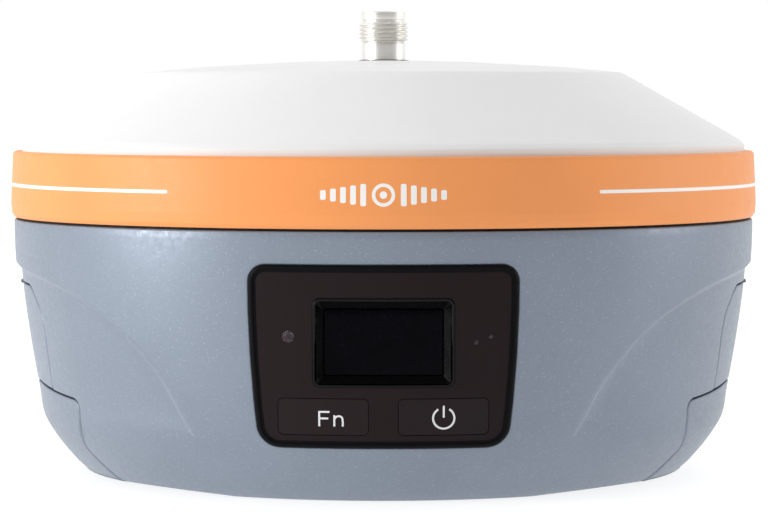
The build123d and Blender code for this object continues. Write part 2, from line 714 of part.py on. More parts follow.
# ---- pole insert and screws ----------------------------------------------
def pole_insert():
    insert = post(0, 0, 0, 2.0, 18.5) + post(0, 0, 1.5, 18.0, 11.0)
    insert -= post(0, 0, -1, POLE_BORE_DEPTH, POLE_BORE_RADIUS)
    for angle in (45, 135, 225, 315):
        x, y = ring_point(14.4, angle)
        insert -= post(x, y, -1, 5, 1.3) + Pos(x, y, 0.65) * Cone(2.6, 1.3, 1.3)
    return insert


def pole_insert_screws():
    screws = None
    for angle in (45, 135, 225, 315):
        x, y = ring_point(14.4, angle)
        screw = Pos(x, y, 0.65) * Cone(2.6, 1.3, 1.3) + post(x, y, 1.2, 10, 1.3)
        screw -= post(x, y, -1, 0.6, 0.7)
        screws = screw if screws is None else screws + screw
    return screws


def housing_screws():
    screws = None
    for x, y in SCREW_WELLS:
        screw = post(x, y, 27.0, 30.0, 2.75) + post(x, y, 30, 56.5, 1.5)
        screw -= post(x, y, 26, 28.6, 1.25)
        screws = screw if screws is None else screws + screw
    return screws


# ---- write every sub-part ------------------------------------------------
NODES = {
    "lower_housing": lower_housing(),
    "trim_band": trim_band(),
    "band_seal": band_seal(),
    "radome": radome(),
    "radome_screws": radome_screws(),
    "antenna_deck": antenna_deck(),
    "panel_gasket": panel_gasket(),
    "panel_overlay": panel_overlay(),
    "panel_carrier": panel_carrier(),
    "display_bezel": display_bezel(),
    "display_window": display_window(),
    "display_module": display_module(),
    "status_light_pipes": light_rods() & raised_solid(-OVERLAY_PROUD),
    "fn_key": key_cap(-1),
    "power_key": key_cap(1),
    "keypad_board": keypad_board(),
    "key_switches": key_switches(),
    "right_battery_door": battery_door(),
    "right_door_seal": door_seal(),
    "right_hinge_pins": hinge_pins(),
    "right_port_cover": port_cover(),
    "right_battery_bay": battery_bay(),
    "right_battery": battery(),
    "battery_contacts": battery_contacts(),
    "power_socket": round_socket(-12, 1, 5),
    "serial_socket": round_socket(-12, -1, 7),
    "usb_socket": usb_socket(),
    "sim_reader": sim_reader(),
    "tnc_shell": tnc_shell(),
    "tnc_dielectric": tnc_dielectric(),
    "tnc_contact": tnc_contact(),
    "tnc_seal": tnc_seal(),
    "tnc_clamp_plate": tnc_clamp_plate(),
    "uhf_lead": uhf_lead(),
    "antenna_ground_plane": antenna_ground_plane(),
    "lower_patch": patch(63.0, 69.0, 36.0),
    "upper_patch": patch(69.0, 74.0, 26.0),
    "antenna_feed_pins": antenna_feed_pins(),
    "antenna_lna_board": antenna_lna_board(),
    "lna_shield": lna_shield(),
    "antenna_screws": antenna_screws(),
    "gnss_coax": gnss_coax(),
    "main_board": main_board(),
    "gnss_module": gnss_module(),
    "processor_shield": processor_shield(),
    "uhf_radio": uhf_radio(),
    "modem_module": modem_module(),
    "board_screws": board_screws(),
    "speaker": speaker(),
    "vent_plug": vent_plug(),
    "label_plate": label_plate(),
    "pole_insert": pole_insert(),
    "pole_insert_screws": pole_insert_screws(),
    "housing_screws": housing_screws(),
}
for part_name in ("battery_door", "door_seal", "hinge_pins", "port_cover", "battery_bay", "battery"):
    NODES["left_" + part_name] = other_side(NODES["right_" + part_name])

os.makedirs("parts", exist_ok=True)
for node, part in NODES.items():
    export_step(part, "parts/" + node + ".step")
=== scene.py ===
import math

import bpy
import bmesh
import numpy as np
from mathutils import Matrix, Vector
from mathutils.geometry import delaunay_2d_cdt


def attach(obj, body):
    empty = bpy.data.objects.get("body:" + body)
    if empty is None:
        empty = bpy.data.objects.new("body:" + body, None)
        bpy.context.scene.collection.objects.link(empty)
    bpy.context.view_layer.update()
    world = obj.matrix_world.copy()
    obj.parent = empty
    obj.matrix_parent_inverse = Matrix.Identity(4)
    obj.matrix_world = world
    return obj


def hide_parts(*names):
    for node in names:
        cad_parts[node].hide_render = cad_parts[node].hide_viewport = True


# Looks of a pole-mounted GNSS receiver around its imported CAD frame.
# Shapes are worked out in millimetres in the row frame and scaled once, in new_piece.

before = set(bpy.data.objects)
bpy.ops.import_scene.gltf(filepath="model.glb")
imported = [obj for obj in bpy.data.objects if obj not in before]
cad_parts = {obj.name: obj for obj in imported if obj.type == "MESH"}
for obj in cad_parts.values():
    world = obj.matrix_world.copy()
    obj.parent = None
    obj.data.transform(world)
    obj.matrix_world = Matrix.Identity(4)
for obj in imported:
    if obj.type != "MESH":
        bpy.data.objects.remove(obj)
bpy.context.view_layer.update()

MM = 0.001
WELD = 0.004                  # points closer than this are joined

# ---- sizes shared with the CAD ----
SEAM_Z = 55.4
DOOR_BOTTOM_Z = 0.6
SUNK_TOP = 47.0               # the sunk profile ends here
SINK_LOW = 12.3               # below this the sides are not sunk
ARCH_TOP = 45.9
RAISED = [(64.1, 0.0), (66.1, 1.1), (68.8, 3.8), (72.9, 9.0), (74.8, 12.3), (76.8, 18.3),
          (79.3, 30.1), (80.7, 41.9), (81.2, 50.0), (81.3, SEAM_Z)]
SUNK = [(64.1, 0.0), (66.1, 1.1), (68.8, 3.8), (72.9, 9.0), (74.8, 12.3), (75.9, 18.3),
        (77.95, 30.1), (79.5, 41.9), (79.9, SUNK_TOP)]
ARCH = [(64.5, 0.0), (64.5, 17.0), (64.0, 23.2), (62.3, 28.3), (59.9, 32.6), (56.6, 36.1),
        (52.4, 38.8), (47.0, 41.0), (39.9, 42.8), (23.9, 44.6), (0.0, ARCH_TOP)]
FADE_TOP, FADE_RUN = 49.0, 3.0
ARCH_STEP_WIDTH = 1.5         # how softly the side areas sink
CREST_HIGHLIGHT_WIDTH = 0.95            # painted highlight: a lighter paint line along that step
CREST_HIGHLIGHT_LOW = 12.8
RIM_RADIUS = 64.8
RIM_INNER = 64.0
RIM_RELIEF_ANGLE = 49.0       # the rim lifts a little at four places
RIM_RELIEF_START = 60.0
RIM_RELIEF_SLOPE = 0.15
RIM_FADE_HEIGHT = 8           # the lift dies out at this height
UNROLL_RADIUS = 80            # turns angles round the body into lengths
SKIN_LOW = 0.35               # the painted skin starts this far up
SKIN_EDGE = 0.35              # edge radius of painted openings
SHEET_BACK = SKIN_EDGE + 0.25     # painted sheets stop this far from an edge
SKIN_DEPTH = 2.4
SKIN_THICKNESS = 0.5          # skin kept in front of the CAD core
POCKET_HALF = 35.9
BEAD_X, BEAD_Z = 79.3, 41.6   # pivot of the port covers
BAND_RADIUS = 82
LINE_LOW, LINE_HIGH = 62.65, 63.35
EMBLEM_Z = 62.7
PANEL_TOP = (27.0, 48.8)
PANEL_LOW = (24.9, 11.8)
GASKET_WIDTH = 1.5
GASKET_PROUD = 0.6
OVERLAY_PROUD = 0.2
DISPLAY_Z = 33.3
BEZEL_SIZE = (28.3, 17.9)
WINDOW_SIZE = (23.8, 13.3)
GLASS_Y = -77.3
WINDOW_BACK_Y = -75.5
KEY_X, KEY_Z = 12.0, 18.3
KEY_SIZE = (17.7, 7.1)
PRINT_HEIGHT = 0.03
LAMP_PROUD = 0.2
LIGHTS = [(-19.0, 34.5, 1.2), (18.4, 33.3, 0.45), (21.4, 34.4, 0.45)]
JACK_PITCH = 25.4 / 28
POLE_PITCH = 25.4 / 11


# ---- curves ----
def ring_points(r, angles, z):
    """Points at radius r and height z; angles run from the front round to the right."""
    z = np.broadcast_to(z, angles.shape)
    return np.column_stack([r * np.sin(angles), -r * np.cos(angles), z])


def upright(flat, y):
    """Places (x, z) points on the upright plane at y."""
    return np.column_stack([flat[:, 0], np.full(len(flat), y), flat[:, 1]])


def smooth_curve(points, per_span=24):
    """A smooth curve through 2-D points, as a dense array."""
    p = np.array(points, float)
    t = np.concatenate([[0], np.cumsum(np.hypot(*np.diff(p, axis=0).T))])
    slopes = np.gradient(p, t, axis=0, edge_order=2)
    out = []
    for i in range(len(p) - 1):
        h = t[i + 1] - t[i]
        u = np.linspace(0, 1, per_span, endpoint=False)[:, None]
        out.append((2 * u**3 - 3 * u**2 + 1) * p[i] + (u**3 - 2 * u**2 + u) * h * slopes[i]
                   + (3 * u**2 - 2 * u**3) * p[i + 1] + (u**3 - u**2) * h * slopes[i + 1])
    return np.vstack(out + [p[-1:]])


def rounded_polygon(corners, step=0.6, closed=True):
    """Points along a polygon whose corners are (x, y, radius)."""
    n = len(corners)
    points = []
    for i, (x, y, radius) in enumerate(corners):
        here = np.array([x, y])
        if not closed and i in (0, n - 1):
            points.append(here)
            continue
        before = np.array(corners[i - 1][:2]) - here
        after = np.array(corners[(i + 1) % n][:2]) - here
        before_length = np.hypot(*before)
        after_length = np.hypot(*after)
        before = before / before_length
        after = after / after_length
        half = math.acos(max(-1.0, min(1.0, float(before @ after)))) / 2
        if radius <= 0 or half > math.pi / 2 - 1e-3:
            points.append(here)
            continue
        run = min(radius / math.tan(half), 0.49 * before_length, 0.49 * after_length)
        radius = run * math.tan(half)
        middle = (before + after) / np.hypot(*(before + after))
        centre = here + middle * radius / math.sin(half)
        start = here + before * run - centre
        end = here + after * run - centre
        sweep = math.pi - 2 * half
        turn = math.copysign(1, start[0] * end[1] - start[1] * end[0])
        count = max(3, int(math.ceil(sweep * radius / min(step, radius * 0.5))))
        for k in range(count + 1):
            a = turn * sweep * k / count
            points.append(centre + [start[0] * math.cos(a) - start[1] * math.sin(a),
                                    start[0] * math.sin(a) + start[1] * math.cos(a)])
    return fill_gaps(np.array(points), step, closed)


def fill_gaps(points, step, closed):
    """Adds points so that no stretch is longer than step."""
    out = []
    count = len(points)
    for i in range(count if closed else count - 1):
        a, b = points[i], points[(i + 1) % count]
        pieces = max(1, int(math.ceil(np.hypot(*(b - a)) / step)))
        for k in range(pieces):
            out.append(a + (b - a) * k / pieces)
    if not closed:
        out.append(points[-1])
    return np.array(out)


def outward(points, closed=True):
    """Unit normals to the right of the way the points run."""
    if closed:
        along = np.roll(points, -1, axis=0) - np.roll(points, 1, axis=0)
    else:
        along = np.gradient(points, axis=0)
    along /= np.maximum(np.hypot(along[:, 0], along[:, 1]), 1e-9)[:, None]
    return np.column_stack([along[:, 1], -along[:, 0]])


def anticlockwise(points):
    x, y = points[:, 0], points[:, 1]
    area = np.sum(x * np.roll(y, -1) - np.roll(x, -1) * y)
    return points if area > 0 else points[::-1]


def inside(points, loop):
    """Which points lie inside a closed loop."""
    x, y = points[:, 0][:, None], points[:, 1][:, None]
    x0, y0 = loop[:, 0][None], loop[:, 1][None]
    x1, y1 = np.roll(loop[:, 0], -1)[None], np.roll(loop[:, 1], -1)[None]
    with np.errstate(divide="ignore", invalid="ignore"):
        crossing = (y0 > y) != (y1 > y)
        hit = crossing & (x < (x1 - x0) * (y - y0) / (y1 - y0) + x0)
    return hit.sum(axis=1) % 2 == 1


def gap_to(points, line):
    """Distance from each point to a dense line of points."""
    best = np.full(len(points), 1e9)
    for start in range(0, len(line), 64):
        part = line[start:start + 64]
        d = np.hypot(points[:, 0][:, None] - part[:, 0], points[:, 1][:, None] - part[:, 1])
        best = np.minimum(best, d.min(axis=1))
    return best


# ---- body surface ----
RAISED_CURVE = smooth_curve(RAISED)
SUNK_CURVE = smooth_curve(SUNK)
ARCH_LINE = fill_gaps(smooth_curve(ARCH), 0.25, False)


def raised_radius(z):
    return np.interp(z, RAISED_CURVE[:, 1], RAISED_CURVE[:, 0])


def sunk_radius(z):
    return np.interp(z, SUNK_CURVE[:, 1], SUNK_CURVE[:, 0])


def housing_radius(theta, z):
    """Radius of the painted surface; theta runs from the front round to the right."""
    y = np.abs(raised_radius(z) * np.cos(theta))
    points = np.column_stack([y, z])
    distance = gap_to(points, ARCH_LINE)
    under = inside(points, np.vstack([ARCH_LINE, [[-5, ARCH_TOP], [-5, 0]]]))
    signed = np.where(under, distance, -distance)
    t = np.clip(signed / ARCH_STEP_WIDTH + 0.5, 0, 1)
    step = 0.6 * t + 0.4 * t * t * (3 - 2 * t)
    depth = np.where(z > SINK_LOW, raised_radius(z) - sunk_radius(np.minimum(z, SUNK_TOP)), 0)
    fade = np.clip((FADE_TOP - z) / FADE_RUN, 0, 1)
    return raised_radius(z) - np.maximum(depth, 0) * step * fade


def rim_lift(theta, radius):
    """How far the standing rim is above the table."""
    off = np.arcsin(np.clip(np.abs(np.sin(theta)), 0, 1)) - math.radians(RIM_RELIEF_ANGLE)
    return np.maximum(0, RIM_RELIEF_SLOPE * (radius * np.cos(off) - RIM_RELIEF_START))


def lifted(points):
    """Moves placed points near the floor up by the relief of the rim."""
    theta = np.arctan2(points[:, 0], -points[:, 1])
    lift = rim_lift(theta, RIM_RADIUS) * np.clip(1 - points[:, 2] / RIM_FADE_HEIGHT, 0, 1)
    return points + np.column_stack([lift * 0, lift * 0, lift])


def front_point(points, depth):
    """Places (x, z) points on the front of the body, sunk by depth."""
    x, z = points[:, 0], points[:, 1]
    r = raised_radius(z) - depth
    return np.column_stack([x, -np.sqrt(r * r - x * x), z])


def side_point(points, depth, side):
    """Places (y, z) points on the sunk surface of one side."""
    y, z = points[:, 0], points[:, 1]
    r = sunk_radius(z) - depth
    return np.column_stack([side * np.sqrt(r * r - y * y), y, z])


# ---- outlines ----
def mirrored(half):
    """All corners of a shape from those of one half."""
    return half + [(-x, z, r) for x, z, r in reversed(half)]


def panel_outline():
    half = [(PANEL_LOW[0], PANEL_LOW[1], 4.8)]
    for t in (0.25, 0.5, 0.75):
        chord = PANEL_LOW[0] + t * (PANEL_TOP[0] - PANEL_LOW[0])
        z = PANEL_LOW[1] + t * (PANEL_TOP[1] - PANEL_LOW[1])
        half.append((chord + 0.55 * 4 * t * (1 - t), z, 60.0))
    half.append((PANEL_TOP[0], PANEL_TOP[1], 3.4))
    return anticlockwise(rounded_polygon(mirrored(half)))


def door_outline():
    """Open line from the door's front bottom end round to its back one."""
    half = [(34.93, DOOR_BOTTOM_Z, 0), (35.0, 8.0, 3.0), (39.4, 13.0, 4.0), (40.7, 18.1, 1.9),
            (17.0, 20.0, 8.0)]
    return rounded_polygon(mirrored(half), closed=False)


def cover_outline():
    half = [(28.4, 19.6, 0.8), (30.3, 31.5, 8.0), (30.0, 36.0, 6.0), (24.5, 41.4, 8.0)]
    return anticlockwise(rounded_polygon(mirrored([(17.0, 20.5, 0)] + half)))


def circle(x, z, radius, count=28):
    a = np.linspace(0, 2 * math.pi, count, endpoint=False)
    return np.column_stack([x + radius * np.cos(a), z + radius * np.sin(a)])


def pocket_outline():
    """Open edge of the pocket that a door and the cover above it share."""
    half = [(35.33, 0.0, 0), (35.4, 7.9, 3.0), (39.85, 12.85, 4.0), (41.15, 18.47, 2.2),
            (28.8, 19.46, 0), (28.85, 21.6, 0), (30.7, 31.45, 8.0), (30.4, 36.17, 6.4),
            (24.67, 41.8, 8.4)]
    return rounded_polygon(mirrored(half), closed=False)


# ---- meshes ----
class Builder:
    """Gathers points and faces, in millimetres, with a material index for each face."""

    def __init__(self):
        self.points = []
        self.faces = []
        self.slots = []

    def add(self, points, faces):
        start = len(self.points)
        self.points += [tuple(p) for p in points]
        self.faces += [tuple(start + i for i in f) for f in faces]
        self.slots += [0] * len(faces)

    def strip(self, rows, closed=True):
        """Quads between rows of equally many points."""
        count = len(rows[0])
        faces = []
        for k in range(len(rows) - 1):
            for i in range(count if closed else count - 1):
                j = (i + 1) % count
                a, b = k * count, (k + 1) * count
                faces.append((a + i, a + j, b + j, b + i))
        self.add(np.vstack(rows), faces)

    def patch(self, loop, holes, place, step, extra=None):
        """A triangulated sheet inside loop and outside holes, put in space by place."""
        flat, triangles = triangulate(loop, holes, step, extra)
        self.add(place(flat), triangles)

    def append_mesh(self, mesh):
        self.add([v.co / MM for v in mesh.vertices], [tuple(p.vertices) for p in mesh.polygons])

    def mesh(self, name):
        made = bpy.data.meshes.new(name)
        made.from_pydata([tuple(c * MM for c in p) for p in self.points], [], self.faces)
        return made


def in_sheet(points, loop, holes):
    """Which points lie inside loop and outside every hole."""
    keep = inside(points, loop)
    for hole in holes:
        keep &= ~inside(points, hole)
    return keep


def triangulate(loop, holes, step, extra=None):
    """Triangles of the region inside loop and outside holes, with an even inner grid."""
    rings = [loop] + list(holes)
    low, high = loop.min(axis=0), loop.max(axis=0)
    xs = np.arange(low[0] + step / 2, high[0], step)
    ys = np.arange(low[1] + step / 2, high[1], step)
    gx, gy = np.meshgrid(xs, ys)
    gx[1::2] += step / 2
    grid = np.column_stack([gx.ravel(), gy.ravel()])
    grid = grid[in_sheet(grid, loop, holes)]
    grid = grid[gap_to(grid, np.vstack(rings)) > 0.55 * step]
    if extra is not None:
        extra = extra[in_sheet(extra, loop, holes)]
        extra = extra[gap_to(extra, np.vstack(rings)) > 0.3]
        grid = grid[gap_to(grid, extra) > 0.5 * step]
        grid = np.vstack([grid, extra])
    points = []
    edges = []
    for ring in rings:
        start = len(points)
        points += [Vector(p) for p in ring]
        edges += [(start + i, start + (i + 1) % len(ring)) for i in range(len(ring))]
    points += [Vector(p) for p in grid]
    result = delaunay_2d_cdt(points, edges, [], 0, 1e-6)
    flat = np.array([tuple(p) for p in result[0]])
    triangles = np.array([f for f in result[2] if len(f) == 3])
    keep = in_sheet(flat[triangles].mean(axis=1), loop, holes)
    used, triangles = np.unique(triangles[keep], return_inverse=True)
    return flat[used], [tuple(int(i) for i in t) for t in triangles.reshape(-1, 3)]


def cleaned(mesh, weld=0.0, face_out=True):
    """Joins points closer than weld, in metres, and turns the faces outward."""
    work = bmesh.new()
    work.from_mesh(mesh)
    if weld:
        bmesh.ops.remove_doubles(work, verts=work.verts, dist=weld)
    if face_out:
        bmesh.ops.recalc_face_normals(work, faces=work.faces)
    work.to_mesh(mesh)
    work.free()
    return mesh


def placed(name, data):
    """A new object in the scene."""
    made = bpy.data.objects.new(name, data)
    bpy.context.scene.collection.objects.link(made)
    return made


def new_piece(name, builder, looks, body, stands_for=(), sharp=35):
    """Turns a builder into a smooth-shaded object that rides on a body; looks are in MATERIALS."""
    mesh = builder.mesh(name)
    for index, slot in enumerate(builder.slots):
        mesh.polygons[index].material_index = slot
    for look in looks:
        mesh.materials.append(MATERIALS[look])
    cleaned(mesh, WELD * MM)
    mesh.shade_smooth()
    mesh.set_sharp_from_angle(angle=math.radians(sharp))
    piece = placed(name, mesh)
    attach(piece, body)
    if stands_for:
        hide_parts(*stands_for)


def receiver_piece(name, builder, look, stands_for, sharp=35):
    new_piece(name, builder, [look], "receiver", stands_for, sharp)


def turned_rows(profile, count):
    """Rings of points from a (radius, height) profile."""
    angles = np.linspace(0, 2 * math.pi, count, endpoint=False)
    return [ring_points(r, angles, z) for r, z in profile]


def turned_piece(name, corners, look, stands_for, step):
    """A smooth turned part of the receiver; corners are (radius, height, rounding)."""
    profile = rounded_polygon(corners, step)
    builder = Builder()
    builder.strip(turned_rows(np.vstack([profile, profile[:1]]), 240))
    receiver_piece(name, builder, look, stands_for)


def cad_mesh(node, cutter, operation="INTERSECT"):
    """A welded copy of a CAD node's mesh, cut by another mesh."""
    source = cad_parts[node]
    mesh = source.data.copy()
    mesh.transform(source.matrix_world)
    piece = placed("cut_" + node, cleaned(mesh, 1e-6, False))
    tool = placed("tool_" + node, cutter)
    modifier = piece.modifiers.new("cut", "BOOLEAN")
    modifier.object = tool
    modifier.operation = operation
    modifier.solver = "EXACT"
    shown = piece.evaluated_get(bpy.context.evaluated_depsgraph_get())
    result = bpy.data.meshes.new_from_object(shown)
    bpy.data.objects.remove(piece)
    bpy.data.objects.remove(tool)
    return result


def turned_mesh(profile, count=180):
    """A closed mesh of revolution for cutting."""
    builder = Builder()
    rows = turned_rows(profile, count)
    builder.strip(rows)
    for row, z in ((0, profile[0][1]), (len(rows) - 1, profile[-1][1])):
        start = len(builder.points)
        builder.points.append((0, 0, z))
        ring = [row * count + i for i in range(count)]
        builder.faces += [(ring[i], ring[(i + 1) % count], start) for i in range(count)]
        builder.slots += [0] * count
    return cleaned(builder.mesh("turned"))


def even_rectangle(x, z, width, height, radius, corner=7, side=12):
    """A rounded rectangle with a fixed number of points, so that rows can be joined."""
    arcs = []
    for k, (sx, sz) in enumerate(((1, -1), (1, 1), (-1, 1), (-1, -1))):
        centre = np.array((x + sx * (width / 2 - radius), z + sz * (height / 2 - radius)))
        angles = [math.pi / 2 * (k - 1 + i / corner) for i in range(corner + 1)]
        arcs.append([centre + radius * np.array((math.cos(a), math.sin(a))) for a in angles])
    points = []
    for arc, following in zip(arcs, arcs[1:] + arcs[:1]):
        points += arc
        points += [arc[-1] + (following[0] - arc[-1]) * i / side for i in range(1, side)]
    return np.array(points)


# ---- materials ----
def linear(r, g, b):
    """Screen colour, 0 to 255, as the shader wants it."""
    parts = [((c / 255 + 0.055) / 1.055) ** 2.4 if c > 10 else c / 3294.6 for c in (r, g, b)]
    return tuple(parts) + (1.0,)


def darker(colour, share):
    return tuple(c * share for c in colour[:3]) + (1.0,)


class Surface:
    """One procedural material. Noise and cells are laid out in the object's own metres."""

    def __init__(self, name, colour, roughness, metallic=0.0, specular=0.5, coat=0.0, coat_roughness=0.1):
        self.material = bpy.data.materials.new(name)
        self.material.use_nodes = True
        self.tree = self.material.node_tree
        self.shader = self.tree.nodes["Principled BSDF"]
        self.shader.inputs["Base Color"].default_value = colour
        self.shader.inputs["Roughness"].default_value = roughness
        self.shader.inputs["Metallic"].default_value = metallic
        self.shader.inputs["Specular IOR Level"].default_value = specular
        self.shader.inputs["Coat Weight"].default_value = coat
        self.shader.inputs["Coat Roughness"].default_value = coat_roughness
        self.colour = colour
        self.last_colour = None
        self.last_bump = None
        self.place = self.node("ShaderNodeTexCoord").outputs["Object"]

    def node(self, kind, inputs=(), **settings):
        made = self.tree.nodes.new(kind)
        for key, value in settings.items():
            setattr(made, key, value)
        for key, value in dict(inputs).items():
            if isinstance(value, bpy.types.NodeSocket):
                self.tree.links.new(value, made.inputs[key])
            else:
                made.inputs[key].default_value = value
        return made

    def stretched(self, x, y, z):
        """The object's coordinates scaled along each axis."""
        return self.node("ShaderNodeMapping", {"Vector": self.place, "Scale": (x, y, z)}).outputs[0]

    def noise(self, scale, detail=2.0, roughness=0.5, place=None):
        return self.node("ShaderNodeTexNoise", {"Vector": place or self.place, "Scale": scale,
                                                "Detail": detail, "Roughness": roughness}).outputs["Fac"]

    def ranged(self, value, low, high, to_low=0.0, to_high=1.0):
        return self.node("ShaderNodeMapRange", {"Value": value, "From Min": low, "From Max": high,
                                                "To Min": to_low, "To Max": to_high}).outputs["Result"]

    def maths(self, operation, a, b=0.0):
        return self.node("ShaderNodeMath", {0: a, 1: b}, operation=operation).outputs[0]

    def tint(self, share, colour):
        """Mixes a colour over what is there, by share."""
        below = self.last_colour if self.last_colour is not None else self.colour
        mix = self.node("ShaderNodeMix", {0: share, 6: below, 7: colour}, data_type="RGBA")
        self.last_colour = mix.outputs[2]
        self.tree.links.new(self.last_colour, self.shader.inputs["Base Color"])

    def mottle(self, scale, amount, detail=3.0):
        """Slow change of lightness across the surface."""
        self.tint(self.ranged(self.noise(scale, detail), 0.35, 0.65), darker(self.colour, 1 - amount))

    def rough(self, value, low, high):
        """Roughness that follows a 0 to 1 value."""
        self.tree.links.new(self.ranged(value, 0.3, 0.7, low, high), self.shader.inputs["Roughness"])

    def bump(self, height, distance, strength=1.0):
        """Adds relief, with distance in millimetres."""
        inputs = {"Height": height, "Distance": distance * MM, "Strength": strength}
        if self.last_bump is not None:
            inputs["Normal"] = self.last_bump
        self.last_bump = self.node("ShaderNodeBump", inputs).outputs["Normal"]
        self.tree.links.new(self.last_bump, self.shader.inputs["Normal"])

    def cells(self, scale, feature="F1"):
        return self.node("ShaderNodeTexVoronoi", {"Vector": self.place, "Scale": scale}, feature=feature)

    def channel(self, colour, index):
        return self.node("ShaderNodeSeparateColor", {0: colour}).outputs[index]

    def sparkle(self, scale, share, amount, colour):
        """Scattered bright flakes; share of the cells that shine."""
        cells = self.cells(scale)
        pick = self.channel(cells.outputs["Color"], 0)
        bright = self.ranged(pick, 1 - share, 1.0)
        core = self.ranged(cells.outputs["Distance"], 0.55, 0.15)
        self.tint(self.maths("MULTIPLY", self.maths("MULTIPLY", bright, core), amount), colour)


def painted(name, colour):
    made = Surface(name, colour, 0.42, metallic=0.25, specular=0.4, coat=0.1, coat_roughness=0.28)
    made.mottle(55, 0.05)
    fine = made.noise(5200, 1.0)
    made.tint(made.ranged(fine, 0.42, 0.75, 0.0, 0.2), darker(colour, 0.84))
    made.sparkle(3000, 0.14, 0.4, linear(196, 206, 220))
    made.sparkle(5600, 0.14, 0.35, linear(190, 200, 214))
    made.bump(made.noise(1500, 2.0), 0.012, 0.35)
    made.rough(made.noise(900, 2.0), 0.36, 0.5)
    return made.material


def plastic(name, colour, roughness, grain, relief, mottling, specular=0.5):
    made = Surface(name, colour, roughness, specular=specular)
    made.mottle(60, mottling)
    made.tint(made.ranged(made.noise(grain * 2, 1.0), 0.5, 0.8, 0.0, 0.3), darker(colour, 0.9))
    made.bump(made.noise(grain, 3.0), relief, 0.5)
    made.rough(made.noise(grain / 3, 2.0), roughness * 0.9, min(1.0, roughness * 1.12))
    return made.material


def rubber(name, colour, roughness, specular=0.2):
    made = Surface(name, colour, roughness, specular=specular)
    made.mottle(140, 0.12)
    made.bump(made.cells(2400).outputs["Distance"], 0.008, 0.4)
    made.rough(made.noise(500, 3.0), roughness * 0.85, min(1.0, roughness * 1.15))
    return made.material


def metal(name, colour, roughness, grain, relief=0.004):
    """Bare metal with tool marks that run the way grain is small."""
    made = Surface(name, colour, roughness, metallic=1.0)
    marks = made.noise(1.0, 3.0, place=made.stretched(*grain))
    made.tint(made.ranged(marks, 0.45, 0.8, 0.0, 0.35), darker(colour, 0.78))
    made.tint(made.ranged(made.noise(70, 4.0), 0.55, 0.75, 0.0, 0.12), darker(colour, 0.6))
    made.bump(marks, relief, 0.6)
    made.rough(marks, roughness * 0.8, roughness * 1.3)
    return made.material


def circuit_board(name):
    made = Surface(name, linear(18, 92, 52), 0.35, specular=0.5, coat=0.2)
    cells = made.cells(420, feature="DISTANCE_TO_EDGE")
    tracks = made.ranged(cells.outputs["Distance"], 0.05, 0.08, 1.0, 0.0)
    made.tint(made.maths("MULTIPLY", tracks, 0.7), linear(40, 128, 76))
    pads = made.cells(650)
    pick = made.channel(pads.outputs["Color"], 1)
    round_pads = made.ranged(pads.outputs["Distance"], 0.24, 0.2)
    dots = made.maths("MULTIPLY", round_pads, made.ranged(pick, 0.7, 0.72))
    made.tint(dots, linear(206, 186, 128))
    made.mottle(90, 0.1)
    made.bump(tracks, 0.02, 0.5)
    return made.material


def ceramic(name):
    made = Surface(name, linear(214, 205, 188), 0.5)
    height = made.node("ShaderNodeSeparateXYZ", {0: made.place}).outputs[2]
    below_top = made.maths("ABSOLUTE", made.maths("SUBTRACT", height, 0.069))
    plated = made.maths("MAXIMUM", made.maths("GREATER_THAN", height, 0.07395),
                        made.maths("LESS_THAN", below_top, 0.0001))
    made.tint(plated, linear(206, 206, 204))
    made.mottle(300, 0.08)
    made.sparkle(1400, 0.3, 0.3, linear(240, 236, 226))
    made.bump(made.noise(1600, 3.0), 0.01, 0.6)
    return made.material


def battery_skin(name):
    """Black case with a plain grey label panel and two coloured lines, no lettering."""
    made = Surface(name, linear(28, 28, 30), 0.48)
    parts = made.node("ShaderNodeSeparateXYZ", {0: made.place})
    across = made.maths("ABSOLUTE", parts.outputs[1])
    middle = made.maths("LESS_THAN", across, 0.026)
    label = made.maths("MULTIPLY", middle, made.maths("GREATER_THAN", parts.outputs[2], 0.0172))
    made.tint(label, linear(176, 178, 180))
    stripe = made.maths("ABSOLUTE", made.maths("SUBTRACT", across, 0.0272))
    made.tint(made.maths("LESS_THAN", stripe, 0.0006), linear(236, 130, 60))
    made.mottle(90, 0.12)
    made.bump(made.noise(2200, 3.0), 0.015, 0.5)
    made.rough(made.noise(700), 0.42, 0.56)
    return made.material


